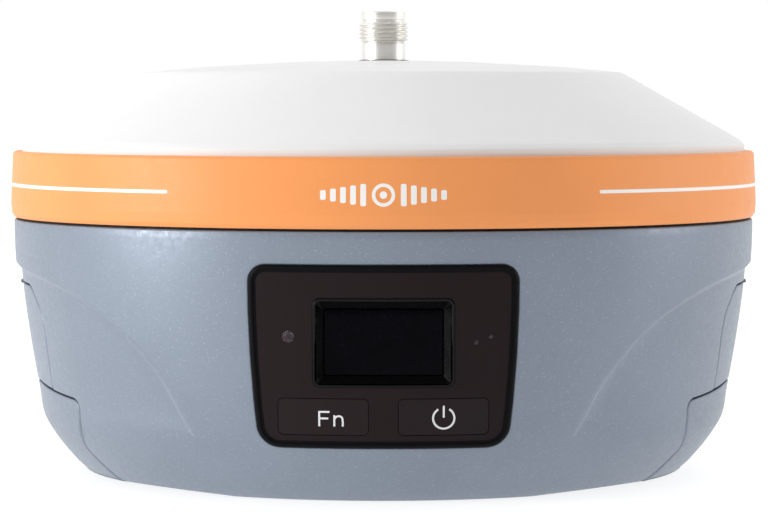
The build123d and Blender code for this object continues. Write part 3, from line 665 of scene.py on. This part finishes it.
MATERIALS = {
    "paint": painted("housing_paint", linear(130, 140, 154)),
    # painted highlight: a lighter copy of the housing paint for the crest of the arch step
    "crest_highlight_paint": painted("crest_highlight_paint", linear(139, 149, 164)),
    "door_paint": painted("door_paint", linear(128, 138, 152)),
    "orange": plastic("band_orange", linear(243, 157, 93), 0.45, 1400, 0.006, 0.03, specular=0.25),
    "white": plastic("radome_white", linear(231, 231, 231), 0.5, 1500, 0.006, 0.015, specular=0.25),
    "print": plastic("white_print", linear(244, 243, 240), 0.5, 2600, 0.004, 0.03),
    "gasket": rubber("gasket_black", linear(7, 6, 9), 0.5, 0.08),
    "seal": rubber("seal_black", linear(24, 24, 26), 0.7),
    "overlay": plastic("overlay_brown", linear(35, 27, 29), 0.55, 2600, 0.006, 0.06, specular=0.08),
    "key": plastic("key_brown", linear(36, 28, 30), 0.5, 2600, 0.006, 0.06, specular=0.1),
    "bezel": plastic("bezel_black", linear(7, 6, 8), 0.26, 1200, 0.003, 0.05, specular=0.16),
    "legend": plastic("legend_white", linear(226, 226, 228), 0.55, 3000, 0.004, 0.03),
    "dark": plastic("moulded_black", linear(34, 34, 36), 0.6, 1200, 0.02, 0.1),
    "deck": plastic("deck_black", linear(44, 44, 47), 0.55, 900, 0.02, 0.12),
    "steel": metal("screw_steel", linear(176, 178, 182), 0.3, (1200, 1200, 1200)),
    "nickel": metal("nickel", linear(236, 234, 229), 0.36, (300, 300, 4000), 0.003),
    "gold": metal("gold_plate", linear(226, 186, 108), 0.25, (2000, 2000, 400)),
    "brass": metal("insert_brass", linear(206, 174, 112), 0.28, (300, 300, 3600), 0.005),
    "tin": metal("tinned_can", linear(196, 198, 200), 0.34, (60, 1400, 900)),
    "aluminium": metal("brushed_aluminium", linear(200, 202, 205), 0.36, (60, 1600, 1600)),
    "cast": metal("cast_case", linear(178, 180, 184), 0.5, (900, 900, 900), 0.02),
    "board": circuit_board("circuit_board"),
    "ceramic": ceramic("patch_ceramic"),
    "ptfe": plastic("white_insulator", linear(236, 235, 230), 0.4, 1500, 0.01, 0.05),
    "jacket": rubber("coax_jacket", linear(26, 26, 28), 0.5, 0.35),
    "battery": battery_skin("battery_skin"),
    "label": plastic("blank_label", linear(196, 198, 200), 0.4, 2400, 0.008, 0.05),
}
CAD_LOOKS = {
    "steel": ["radome_screws", "right_hinge_pins", "left_hinge_pins", "antenna_screws", "board_screws",
              "housing_screws", "pole_insert_screws"],
    "deck": ["antenna_deck", "panel_carrier"],
    "dark": ["right_battery_bay", "left_battery_bay", "speaker", "vent_plug", "display_module",
             "key_switches", "sim_reader"],
    "seal": ["right_door_seal", "left_door_seal", "band_seal", "tnc_seal"],
    "board": ["keypad_board", "antenna_lna_board", "main_board"],
    "battery": ["right_battery", "left_battery"],
    "gold": ["battery_contacts", "antenna_feed_pins", "tnc_contact"],
    "nickel": ["power_socket", "serial_socket", "usb_socket"],
    "ptfe": ["tnc_dielectric"],
    "aluminium": ["tnc_clamp_plate", "antenna_ground_plane"],
    "jacket": ["uhf_lead", "gnss_coax"],
    "ceramic": ["lower_patch", "upper_patch"],
    "tin": ["lna_shield", "gnss_module", "processor_shield", "modem_module"],
    "cast": ["uhf_radio"],
    "label": ["label_plate"],
}
for look, nodes in CAD_LOOKS.items():
    for name in nodes:
        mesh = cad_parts[name].data
        mesh.materials.clear()
        mesh.materials.append(MATERIALS[look])


# ---- edges ----
def rounding(radius, steps=4):
    """(distance back from the edge, depth) pairs round an outside edge."""
    pairs = []
    for k in range(steps + 1):
        a = math.pi / 2 * k / steps
        pairs.append((radius * (1 - math.sin(a)), radius * (1 - math.cos(a))))
    return pairs


# ---- lower housing ----
def front_unrolled(points):
    """Panel (x, z) points in the unrolled skin: arc length and height."""
    x, z = points[:, 0], points[:, 1]
    return np.column_stack([UNROLL_RADIUS * np.arcsin(x / raised_radius(z)), z])


def side_unrolled(points, side):
    """Side (y, z) points in the unrolled skin."""
    y, z = points[:, 0], points[:, 1]
    angle = math.pi / 2 + np.arcsin(y / sunk_radius(z))
    return np.column_stack([side * UNROLL_RADIUS * angle, z])


def housing_place(points):
    theta, z = points[:, 0] / UNROLL_RADIUS, points[:, 1]
    z = z + rim_lift(theta, RIM_RADIUS) * np.clip(1 - z / RIM_FADE_HEIGHT, 0, 1)
    r = housing_radius(theta, z)
    return ring_points(r, theta, z)


def housing_border(across, low, high):
    up = np.linspace(low, high, 36)
    half = across[-1]
    border = [(u, low) for u in across[:-1]] + [(half, v) for v in up[:-1]]
    border += [(u, high) for u in across[:0:-1]] + [(-half, v) for v in up[:0:-1]]
    return np.array(border)


def pocket_hole(pocket, side):
    """The gap that a pocket leaves in the unrolled skin, open at the bottom."""
    edge = pocket + outward(pocket, False) * SHEET_BACK
    below = -4.0
    loop = np.vstack([edge, [[-POCKET_HALF, below], [POCKET_HALF, below]]])
    loop[:, 1] = np.where(loop[:, 1] < 0.001, below, loop[:, 1])
    flat = side_unrolled(np.column_stack([loop[:, 0], np.maximum(loop[:, 1], 0.0)]), side)
    flat[:, 1] = loop[:, 1]
    return flat if side > 0 else flat[::-1]


def arch_points():
    """Closer points where the surface steps along the arch."""
    out = []
    normal = outward(ARCH_LINE, False)
    for distance in (-1.3, -0.95, -0.75, -0.62, -0.4, 0.0, 0.4, 0.62, 0.75, 0.95, 1.3):
        line = (ARCH_LINE + normal * distance)[::2]
        line = line[(line[:, 1] > 13.0) & (line[:, 0] > 0.2)]
        for side in (1, -1):
            for mirror_y in (1, -1):
                out.append(side_unrolled(line * [mirror_y, 1], side))
    return np.vstack(out)


def crest_highlight_slots(builder):
    """Slot 1 for the faces along the crest of the step, which get lighter paint as a painted highlight."""
    centres = np.array(builder.points)[np.array(builder.faces)].mean(axis=1)
    z = centres[:, 2]
    forward = raised_radius(z) * np.abs(centres[:, 1]) / np.hypot(centres[:, 0], centres[:, 1])
    width = CREST_HIGHLIGHT_WIDTH * np.clip((z - CREST_HIGHLIGHT_LOW) / 14, 0.45, 1)
    near = gap_to(np.column_stack([forward, z]), ARCH_LINE) < width / 2
    return [int(c) for c in near & (z > CREST_HIGHLIGHT_LOW)]


def bottom_corners(builder):
    """The rim the receiver stands on, broken by the doors."""
    gap = math.acos(POCKET_HALF / 64.7)
    for start, end in ((-gap, gap), (math.pi - gap, math.pi + gap)):
        angles = np.linspace(start, end, 90)
        lift = rim_lift(angles, RIM_RADIUS) * (1 - SKIN_LOW / RIM_FADE_HEIGHT)
        outer = raised_radius(SKIN_LOW + lift)
        rows = [ring_points(RIM_INNER + (outer - RIM_INNER) * 1.0, angles, SKIN_LOW + lift)]
        for share, z in ((0.55, 0.12), (0.0, 0.012)):
            r = RIM_INNER + (outer - RIM_INNER) * share
            rows.append(ring_points(r, angles, z + rim_lift(angles, r)))
        r = np.full(90, RIM_INNER - 1.6)
        rows.append(ring_points(r, angles, 0.01 + rim_lift(angles, r)))
        builder.strip(rows, closed=False)


def lower_housing():
    builder = Builder()
    half = UNROLL_RADIUS * math.pi
    high = SEAM_Z - 0.35
    across = np.linspace(-half, half, 336)
    panel = panel_outline()
    pocket = pocket_outline()
    holes = [front_unrolled(panel + outward(panel) * SHEET_BACK)]
    holes += [pocket_hole(pocket, side) for side in (1, -1)]
    builder.patch(housing_border(across, SKIN_LOW, high), holes, housing_place, 1.5, arch_points())
    # the faces along the step's crest get the lighter paint of the painted highlight
    builder.slots = crest_highlight_slots(builder)
    # rounded rims of the panel opening and the pockets
    rim = [(SHEET_BACK, 0.0)] + rounding(SKIN_EDGE)
    rows = rim + [(0.0, SKIN_DEPTH)]
    builder.strip([front_point(panel + outward(panel) * o, d) for o, d in rows])
    rows = rim + [(0.0, 0.5), (0.03, 0.7)]
    for side in (1, -1):
        edge = outward(pocket, False)
        builder.strip([lifted(side_point(pocket + edge * o, d, side)) for o, d in rows], closed=False)
    bottom_corners(builder)
    # top edge under the band
    angles = across[:-1] / UNROLL_RADIUS
    skin_top = housing_radius(np.array([0.0]), np.array([high]))[0]
    top = [(skin_top, high), (81.24, SEAM_Z - 0.2), (81.1, SEAM_Z - 0.06), (80.85, SEAM_Z - 0.01),
           (79.5, SEAM_Z - 0.01)]
    builder.strip([ring_points(r, angles, z) for r, z in top])
    core = [(1.0, -2.0), (63.5, -2.0), (63.5, 0.0)]
    core += [(r - 0.55, z) for r, z in SUNK_CURVE[8::8]] + [(80.4, 49.0), (80.5, 57.0), (1.0, 57.0)]
    builder.append_mesh(cad_mesh("lower_housing", turned_mesh(core)))
    paints = ["paint", "crest_highlight_paint"]
    new_piece("housing", builder, paints, "receiver", ["lower_housing"])


lower_housing()


# ---- battery doors and port covers ----
def side_core(node):
    core = [(1.0, -2.0), (66.0, -2.0)] + [(r - SKIN_THICKNESS, z) for r, z in SUNK_CURVE[8:]]
    return cad_mesh(node, turned_mesh(core + [(1.0, 48.0)]))


def side_rim(builder, outline, side, closed):
    """The rounded outside edge of a door or a cover."""
    normal = outward(outline, closed)
    rows = [(SHEET_BACK, 0.0)] + rounding(SKIN_EDGE) + [(0.0, 0.45), (0.03, 0.62)]
    builder.strip([side_point(outline - normal * o, d, side) for o, d in rows], closed=closed)


def battery_door(name, side):
    builder = Builder()
    outline = door_outline()
    low = DOOR_BOTTOM_Z + 0.35
    loop = outline - outward(outline, False) * SHEET_BACK
    loop = loop[loop[:, 1] > DOOR_BOTTOM_Z + 0.4]
    loop = np.vstack([[loop[0][0], low], loop, [loop[-1][0], low]])
    loop = fill_gaps(loop, 0.6, True)
    builder.patch(loop, [], lambda flat: side_point(flat, 0.0, side), 1.2)
    side_rim(builder, outline, side, False)
    # rounded bottom edge
    across = np.linspace(-34.3, 34.3, 90)
    bottom = []
    for radius, z in ((65.96, low), (65.6, 0.72), (65.1, 0.61), (64.0, 0.605), (62.5, 0.605)):
        out = side * np.sqrt(radius**2 - across**2)
        bottom.append(np.column_stack([out, across, np.full(90, z)]))
    builder.strip(bottom, closed=False)
    builder.append_mesh(side_core(name))
    body = name.replace("battery_", "")
    new_piece(name + "_skin", builder, ["door_paint"], body, [name])


def port_cover(name, side):
    builder = Builder()
    outline = cover_outline()
    loop = outline - outward(outline) * SHEET_BACK
    builder.patch(loop, [], lambda flat: side_point(flat, 0.0, side), 1.2)
    side_rim(builder, outline, side, True)
    builder.append_mesh(side_core(name))
    # pivot bead along the top edge
    turn = np.linspace(0, 2 * math.pi, 16, endpoint=False)
    half = [(-7.0, 0.02), (-7.0, 0.3), (-6.86, 0.44), (-3.0, 0.45)]
    bead = []
    for y, r in half + [(-y, r) for y, r in reversed(half)]:
        out = side * (BEAD_X + r * np.cos(turn))
        bead.append(np.column_stack([out, np.full(16, y), BEAD_Z + r * np.sin(turn)]))
    builder.strip(bead)
    body = name.replace("port_", "")
    new_piece(name + "_skin", builder, ["paint"], body, [name])


for side, word in ((1, "right"), (-1, "left")):
    battery_door(word + "_battery_door", side)
    port_cover(word + "_port_cover", side)


# ---- front panel ----
def panel_gasket():
    builder = Builder()
    outline = panel_outline()
    normal = outward(outline)
    rows = [(0.0, 2.6), (0.0, -0.1), (-0.07, -0.33), (-0.2, -0.5), (-0.4, -GASKET_PROUD),
            (-0.75, -GASKET_PROUD), (-0.92, -0.5), (-1.0, -0.36), (-1.12, -0.3), (-1.38, -0.3),
            (-1.48, -0.24), (-GASKET_WIDTH, -0.05), (-GASKET_WIDTH, 1.0)]
    builder.strip([front_point(outline + normal * o, d) for o, d in rows])
    receiver_piece("gasket", builder, "gasket", ["panel_gasket"])


def panel_overlay():
    builder = Builder()
    outline = panel_outline()
    loop = outline - outward(outline) * (GASKET_WIDTH - 0.02)
    openings = [even_rectangle(0, DISPLAY_Z, BEZEL_SIZE[0], BEZEL_SIZE[1], 1.5)]
    width, height = KEY_SIZE
    for side in (1, -1):
        openings.append(even_rectangle(side * KEY_X, KEY_Z, width + 0.5, height + 0.5, 1.15))
    openings += [circle(x, z, radius) for x, z, radius in LIGHTS]
    edge = 0.08
    holes = [hole + outward(hole) * (edge + 0.1) for hole in openings]
    base = -OVERLAY_PROUD
    builder.patch(loop, holes, lambda flat: front_point(flat, base), 1.3)
    rows = [(edge + 0.1, 0.0)] + rounding(edge, 3) + [(0.0, 1.5)]
    for hole in openings:
        builder.strip([front_point(hole + outward(hole) * o, base + d) for o, d in rows])
    receiver_piece("overlay", builder, "overlay", ["panel_overlay"])


def display_bezel():
    builder = Builder()
    width, height = BEZEL_SIZE
    rim = [(0.0, 1.5, 1.2), (0.0, 1.5, -0.18), (0.08, 1.45, -0.36), (0.25, 1.35, -0.44),
           (0.45, 1.2, -0.4), (0.62, 1.1, -0.25), (0.7, 1.0, 0.1)]
    rows = []
    for back, radius, depth in rim:
        flat = even_rectangle(0, DISPLAY_Z, width - 2 * back, height - 2 * back, radius)
        rows.append(front_point(flat, depth))
    inner_width, inner_height = WINDOW_SIZE
    slope = [(width - 1.6, height - 1.6, 0.7, -79.05),
             (inner_width + 0.5, inner_height + 0.5, 0.3, GLASS_Y - 0.15),
             (inner_width + 0.1, inner_height + 0.1, 0.2, GLASS_Y + 0.1),
             (inner_width, inner_height, 0.2, WINDOW_BACK_Y)]
    rows += [upright(even_rectangle(0, DISPLAY_Z, w, h, r), y) for w, h, r, y in slope]
    builder.strip(rows)
    receiver_piece("bezel", builder, "bezel", ["display_bezel"], 20)


def display_glass():
    made = Surface("display_glass", linear(3, 2, 6), 0.2, specular=0.04)
    MATERIALS["glass"] = made.material
    dots = made.cells(4200)
    pick = made.channel(dots.outputs["Color"], 2)
    made.tint(made.maths("MULTIPLY", made.ranged(pick, 0.82, 1.0), 0.16), linear(44, 38, 66))
    made.mottle(200, 0.3)
    made.rough(made.noise(260, 2.0), 0.16, 0.26)
    builder = Builder()
    rows = []
    for back, y in ((0.0, WINDOW_BACK_Y), (0.0, GLASS_Y + 0.2), (0.15, GLASS_Y + 0.02), (0.35, GLASS_Y)):
        rows.append(upright(even_rectangle(0, DISPLAY_Z, 23.7 - 2 * back, 13.2 - 2 * back, 0.4), y))
    builder.strip(rows)
    loop = even_rectangle(0, DISPLAY_Z, 23.0, 12.5, 0.4)
    builder.patch(loop, [], lambda flat: upright(flat, GLASS_Y), 2.0)
    receiver_piece("glass", builder, "glass", ["display_window"])


def key_cap(node, body, side):
    builder = Builder()
    outline = even_rectangle(side * KEY_X, KEY_Z, KEY_SIZE[0] + 0.3, KEY_SIZE[1] + 0.3, 1.05)
    normal = outward(outline)
    edge = 0.1
    base = -OVERLAY_PROUD
    builder.patch(outline - normal * (edge + 0.15), [], lambda flat: front_point(flat, base), 0.8)
    rows = [(edge + 0.15, 0.0)] + rounding(edge) + [(0.0, 0.75), (0.2, 0.95)]
    builder.strip([front_point(outline - normal * o, base + d) for o, d in rows])
    core = [(1.0, 5.0)] + [(r - 0.6, z) for r, z in RAISED_CURVE[30:]] + [(1.0, 57.0)]
    builder.append_mesh(cad_mesh(node, turned_mesh(core)))
    new_piece(node + "_cap", builder, ["key"], body, [node])


def inlay(name, shapes, place, look, body):
    """Thin printed shapes, each a loop with its holes and a mesh step, laid on a surface."""
    builder = Builder()
    for loop, holes, step in shapes:
        builder.patch(loop, holes, lambda flat: place(flat, PRINT_HEIGHT), step)
        for ring in [loop] + list(holes):
            builder.strip([place(ring, PRINT_HEIGHT), place(ring, -0.05)])
    new_piece(name, builder, [look], body, sharp=50)


def arc_band(x, z, inner, outer, start, end, count=40):
    """A closed loop along part of a ring; angles in degrees from straight up, clockwise."""
    a = np.radians(np.linspace(start, end, count))
    out = np.column_stack([x + outer * np.sin(a), z + outer * np.cos(a)])
    back = np.column_stack([x + inner * np.sin(a[::-1]), z + inner * np.cos(a[::-1])])
    return anticlockwise(np.vstack([out, back]))


def on_key(flat, height):
    return front_point(flat, -OVERLAY_PROUD - height)


def power_legend():
    ring = arc_band(KEY_X, KEY_Z - 0.25, 1.93, 2.33, 31, 329)
    bar = even_rectangle(KEY_X, KEY_Z + 1.1, 0.4, 2.5, 0.18, 3, 4)
    shapes = [(ring, [], 0.5), (bar, [], 0.4)]
    inlay("power_legend", shapes, on_key, "legend", "power_button")


def letter_stroke(points, width):
    """A loop round an open line of points, for a drawn letter."""
    line = fill_gaps(np.array(points, float), 0.15, False)
    normal = outward(line, False)
    return anticlockwise(np.vstack([line + normal * width / 2, (line - normal * width / 2)[::-1]]))


def fn_legend():
    """The generic function-key mark, drawn as strokes."""
    x, low, tall, w = -13.0, KEY_Z - 1.9, 3.15, 0.38
    f_post = even_rectangle(x + w / 2, low + tall / 2, w, tall, 0.05, 2, 6)
    f_top = even_rectangle(x + 1.2, low + tall - w / 2, 2.1, w, 0.05, 2, 6)
    f_middle = even_rectangle(x + 1.08, low + 1.62, 1.85, w, 0.05, 2, 6)
    n_post = even_rectangle(x + 3.2, low + 1.15, w, 2.3, 0.05, 2, 6)
    hook = [(3.2, 1.25), (3.33, 1.68), (3.66, 2.0), (4.1, 2.12), (4.52, 2.0), (4.78, 1.68),
            (4.86, 1.2), (4.86, 0.0)]
    n_arch = letter_stroke(smooth_curve([(x + right, low + up) for right, up in hook], 6), w)
    shapes = [(loop, [], 0.4) for loop in (f_post, f_top, f_middle, n_post, n_arch)]
    inlay("fn_legend", shapes, on_key, "legend", "fn_button")


def status_lamps():
    """Clear pipe ends; the big one holds a cluster of bright specks."""
    made = Surface("lamp_clear", linear(62, 52, 56), 0.4, specular=0.15)
    MATERIALS["lamp"] = made.material
    made.mottle(1500, 0.4)
    made.sparkle(3300, 0.45, 0.6, linear(176, 168, 182))
    made.bump(made.cells(3000).outputs["Distance"], 0.05, 0.7)
    builder = Builder()
    for x, z, radius in LIGHTS:
        outer = circle(x, z, radius)
        inner = circle(x, z, radius * 0.7)
        builder.strip([front_point(outer, 2.5), front_point(outer, -0.13), front_point(inner, -LAMP_PROUD)])
        builder.patch(inner, [], lambda flat: front_point(flat, -LAMP_PROUD), 0.5)
    receiver_piece("lamps", builder, "lamp", ["status_light_pipes"])


panel_gasket()
panel_overlay()
display_bezel()
display_glass()
key_cap("fn_key", "fn_button", -1)
key_cap("power_key", "power_button", 1)
power_legend()
fn_legend()
status_lamps()


# ---- band ----
def trim_band():
    corners = [(77.0, 57.0, 0), (77.0, 55.9, 0), (81.25, 55.9, 0.25), (81.85, 56.7, 0.5),
               (82.0, 58.8, 3.0), (81.9, 62.0, 3.0), (81.55, 69.7, 0.5), (81.1, 70.2, 0.4),
               (78.45, 70.2, 0.2), (78.4, 62.0, 0), (78.4, 58.0, 0), (77.0, 58.0, 0)]
    turned_piece("band", corners, "orange", ["trim_band"], 1.5)


def band_radius(z):
    return np.interp(z, [58.8, 62.0, 69.7], [82.0, 81.9, 81.55])


def on_band(flat, height):
    """Places (arc length, height) points on the band, measured from the front."""
    r = band_radius(flat[:, 1]) + height
    return ring_points(r, flat[:, 0] / BAND_RADIUS, flat[:, 1])


def band_line():
    """A thin line round the band that leaves the front free for the emblem."""
    start, end = BAND_RADIUS * math.radians(32), BAND_RADIUS * math.radians(328)
    corners = [(start, LINE_LOW, 0.3), (end, LINE_LOW, 0.3), (end, LINE_HIGH, 0.3), (start, LINE_HIGH, 0.3)]
    shapes = [(rounded_polygon(corners, 1.5), [], 2.0)]
    inlay("band_line", shapes, on_band, "print", "receiver")


def emblem():
    """A plain generic mark: rising bars either side of a ring with a dot."""
    shapes = [(circle(0, EMBLEM_Z, 2.3, 48), [circle(0, EMBLEM_Z, 1.6, 40)], 0.6),
              (circle(0, EMBLEM_Z, 0.75, 24), [], 0.4)]
    for side in (1, -1):
        for k in range(5):
            x = side * (4.0 + 2.0 * k)
            tall = 4.4 - 0.62 * k
            shapes.append((even_rectangle(x, EMBLEM_Z, 1.15, tall, 0.3, 3, 5), [], 0.5))
    inlay("emblem", shapes, on_band, "print", "receiver")


trim_band()
band_line()
emblem()


# ---- radome ----
def radome():
    corners = [(79.5, 70.2, 0), (79.45, 71.7, 0.6), (78.45, 72.65, 1.0), (52.6, 87.3, 3.2),
               (40.0, 88.5, 40.0), (20.0, 89.6, 60.0), (5.75, 89.95, 0), (5.75, 87.6, 0),
               (14.0, 87.6, 2.0), (40.0, 86.05, 20.0), (50.2, 85.2, 2.0), (76.2, 70.6, 1.0),
               (76.2, 60.0, 0), (78.4, 60.0, 0), (78.4, 70.2, 0)]
    turned_piece("dome", corners, "white", ["radome"], 2.0)


radome()


# ---- aerial jack ----
ROUND = 96                    # points round the jack and the insert
ROOT, CREST = 0.12, 0.86      # flats of a thread, as shares of its depth


def threaded_rows(low, high, inner, outer, pitch):
    """Rings of a screw thread between two heights, running out at both ends."""
    steps = int((high - low) / pitch * 14)
    angles = np.linspace(0, 2 * math.pi, ROUND, endpoint=False)
    rows = []
    for k in range(steps + 1):
        z = low + (high - low) * k / steps
        phase = (z / pitch - angles / (2 * math.pi)) % 1.0
        flank = np.clip(np.abs(phase - 0.5) * 2, ROOT, CREST)
        share = (flank - ROOT) / (CREST - ROOT)
        ends = min(1.0, (z - low) / (0.5 * pitch), (high - z) / (0.5 * pitch))
        r = inner + (outer - inner) * share * max(0.0, ends)
        rows.append(ring_points(r, angles, z))
    return rows


def aerial_jack():
    builder = Builder()
    low, high, root = 94.15, 98.55, 4.85
    below = [(2.4, 84.6, 0), (8.0, 84.6, 0.3), (8.0, 87.6, 0.2), (4.75, 87.6, 0), (4.75, 93.7, 0.1),
             (4.4, 93.95, 0), (4.4, 94.1, 0), (root, low, 0)]
    above = [(root, high, 0), (4.4, 98.62, 0), (4.4, 98.88, 0), (4.82, 98.95, 0.05), (4.82, 100.5, 0.2),
             (4.6, 100.8, 0.1), (4.25, 100.8, 0.1), (4.1, 100.6, 0.1), (4.1, 92.6, 0), (2.4, 92.6, 0)]
    rows = turned_rows(rounded_polygon(below, 1.0, False), ROUND)
    rows += threaded_rows(low, high, root, 5.42, JACK_PITCH)
    rows += turned_rows(rounded_polygon(above, 0.8, False), ROUND)
    builder.strip(rows)
    receiver_piece("jack", builder, "nickel", ["tnc_shell"], 40)


aerial_jack()


# ---- pole insert ----
def pole_insert():
    builder = Builder()
    wall = 8.4
    cutter = turned_mesh([(wall, -3.0), (wall, 25.0)], ROUND)
    builder.append_mesh(cad_mesh("pole_insert", cutter, "DIFFERENCE"))
    mouth = [(wall, 0.0, 0), (8.2, 0.0, 0), (7.95, 0.9, 0.2), (6.85, 1.2, 0)]
    end = [(7.9, 15.2, 0), (7.9, 16.0, 0.2), (0.05, 16.0, 0)]
    rows = turned_rows(rounded_polygon(mouth, 0.6, False), ROUND)
    rows += threaded_rows(1.25, 14.8, 7.92, 6.78, POLE_PITCH)
    rows += turned_rows(rounded_polygon(end, 1.0, False), ROUND)
    builder.strip(rows)
    builder.strip(turned_rows([(wall, 0.0), (wall, 18.0), (0.05, 18.0)], ROUND))
    receiver_piece("pole_thread", builder, "brass", ["pole_insert"], 40)


pole_insert()


# ---- floor, light and camera ----
def set_inputs(node, values):
    for name, value in values.items():
        node.inputs[name].default_value = value


def aimed(made, place, target):
    """Moves a lamp or a camera to place and turns it towards target."""
    made.location = place
    made.rotation_euler = (Vector(target) - Vector(place)).to_track_quat("-Z", "Y").to_euler()


def floor():
    mesh = bpy.data.meshes.new("floor")
    radius, count = 6, 64
    turn = np.linspace(0, 2 * math.pi, count, endpoint=False)
    ring = [(radius * math.cos(a), radius * math.sin(a), -0.0002) for a in turn]
    mesh.from_pydata(ring, [], [tuple(range(count))])
    made = Surface("floor_white", (0.32, 0.32, 0.32, 1.0), 0.8, specular=0.1)
    made.mottle(3, 0.01)
    set_inputs(made.shader, {"Emission Color": (1, 1, 1, 1), "Emission Strength": 0.8})
    mesh.materials.append(made.material)
    placed("floor", mesh)


def room():
    """Light from all round: bright behind the receiver and overhead, dimmer in front."""
    world = bpy.data.worlds.new("studio")
    bpy.context.scene.world = world
    world.use_nodes = True
    tree = world.node_tree
    coords = tree.nodes.new("ShaderNodeTexCoord")
    split = tree.nodes.new("ShaderNodeSeparateXYZ")
    tree.links.new(coords.outputs["Generated"], split.inputs[0])
    total = tree.nodes.new("ShaderNodeMath")
    levels = [("Y", -0.2, 0.3, 0.3, 1.0), ("Z", 0.3, 0.95, 0.0, 0.55)]
    for index, (axis, start, end, low, high) in enumerate(levels):
        level = tree.nodes.new("ShaderNodeMapRange")
        set_inputs(level, {"From Min": start, "From Max": end, "To Min": low, "To Max": high})
        tree.links.new(split.outputs[axis], level.inputs["Value"])
        tree.links.new(level.outputs["Result"], total.inputs[index])
    background = tree.nodes["Background"]
    background.inputs["Color"].default_value = (1, 1, 1, 1)
    tree.links.new(total.outputs[0], background.inputs["Strength"])


def lamp(name, place, power):
    data = bpy.data.lights.new(name, "AREA")
    data.size = 0.6
    data.energy = power
    made = placed(name, data)
    aimed(made, place, (0, 0, 0.05))


def camera():
    data = bpy.data.cameras.new("camera")
    data.sensor_width = 36
    data.lens = 154.5
    data.shift_x = 0.00065
    made = placed("camera", data)
    aimed(made, (0.0, -0.7303, 0.0824), (0.0, 0.0, 0.0467))
    bpy.context.scene.camera = made


floor()
room()
lamp("key", (-1.58, -0.56, 0.31), 18.5)
lamp("fill", (1.65, 0.1, 0.36), 4.5)
camera()
bpy.context.scene.view_settings.view_transform = "Standard"
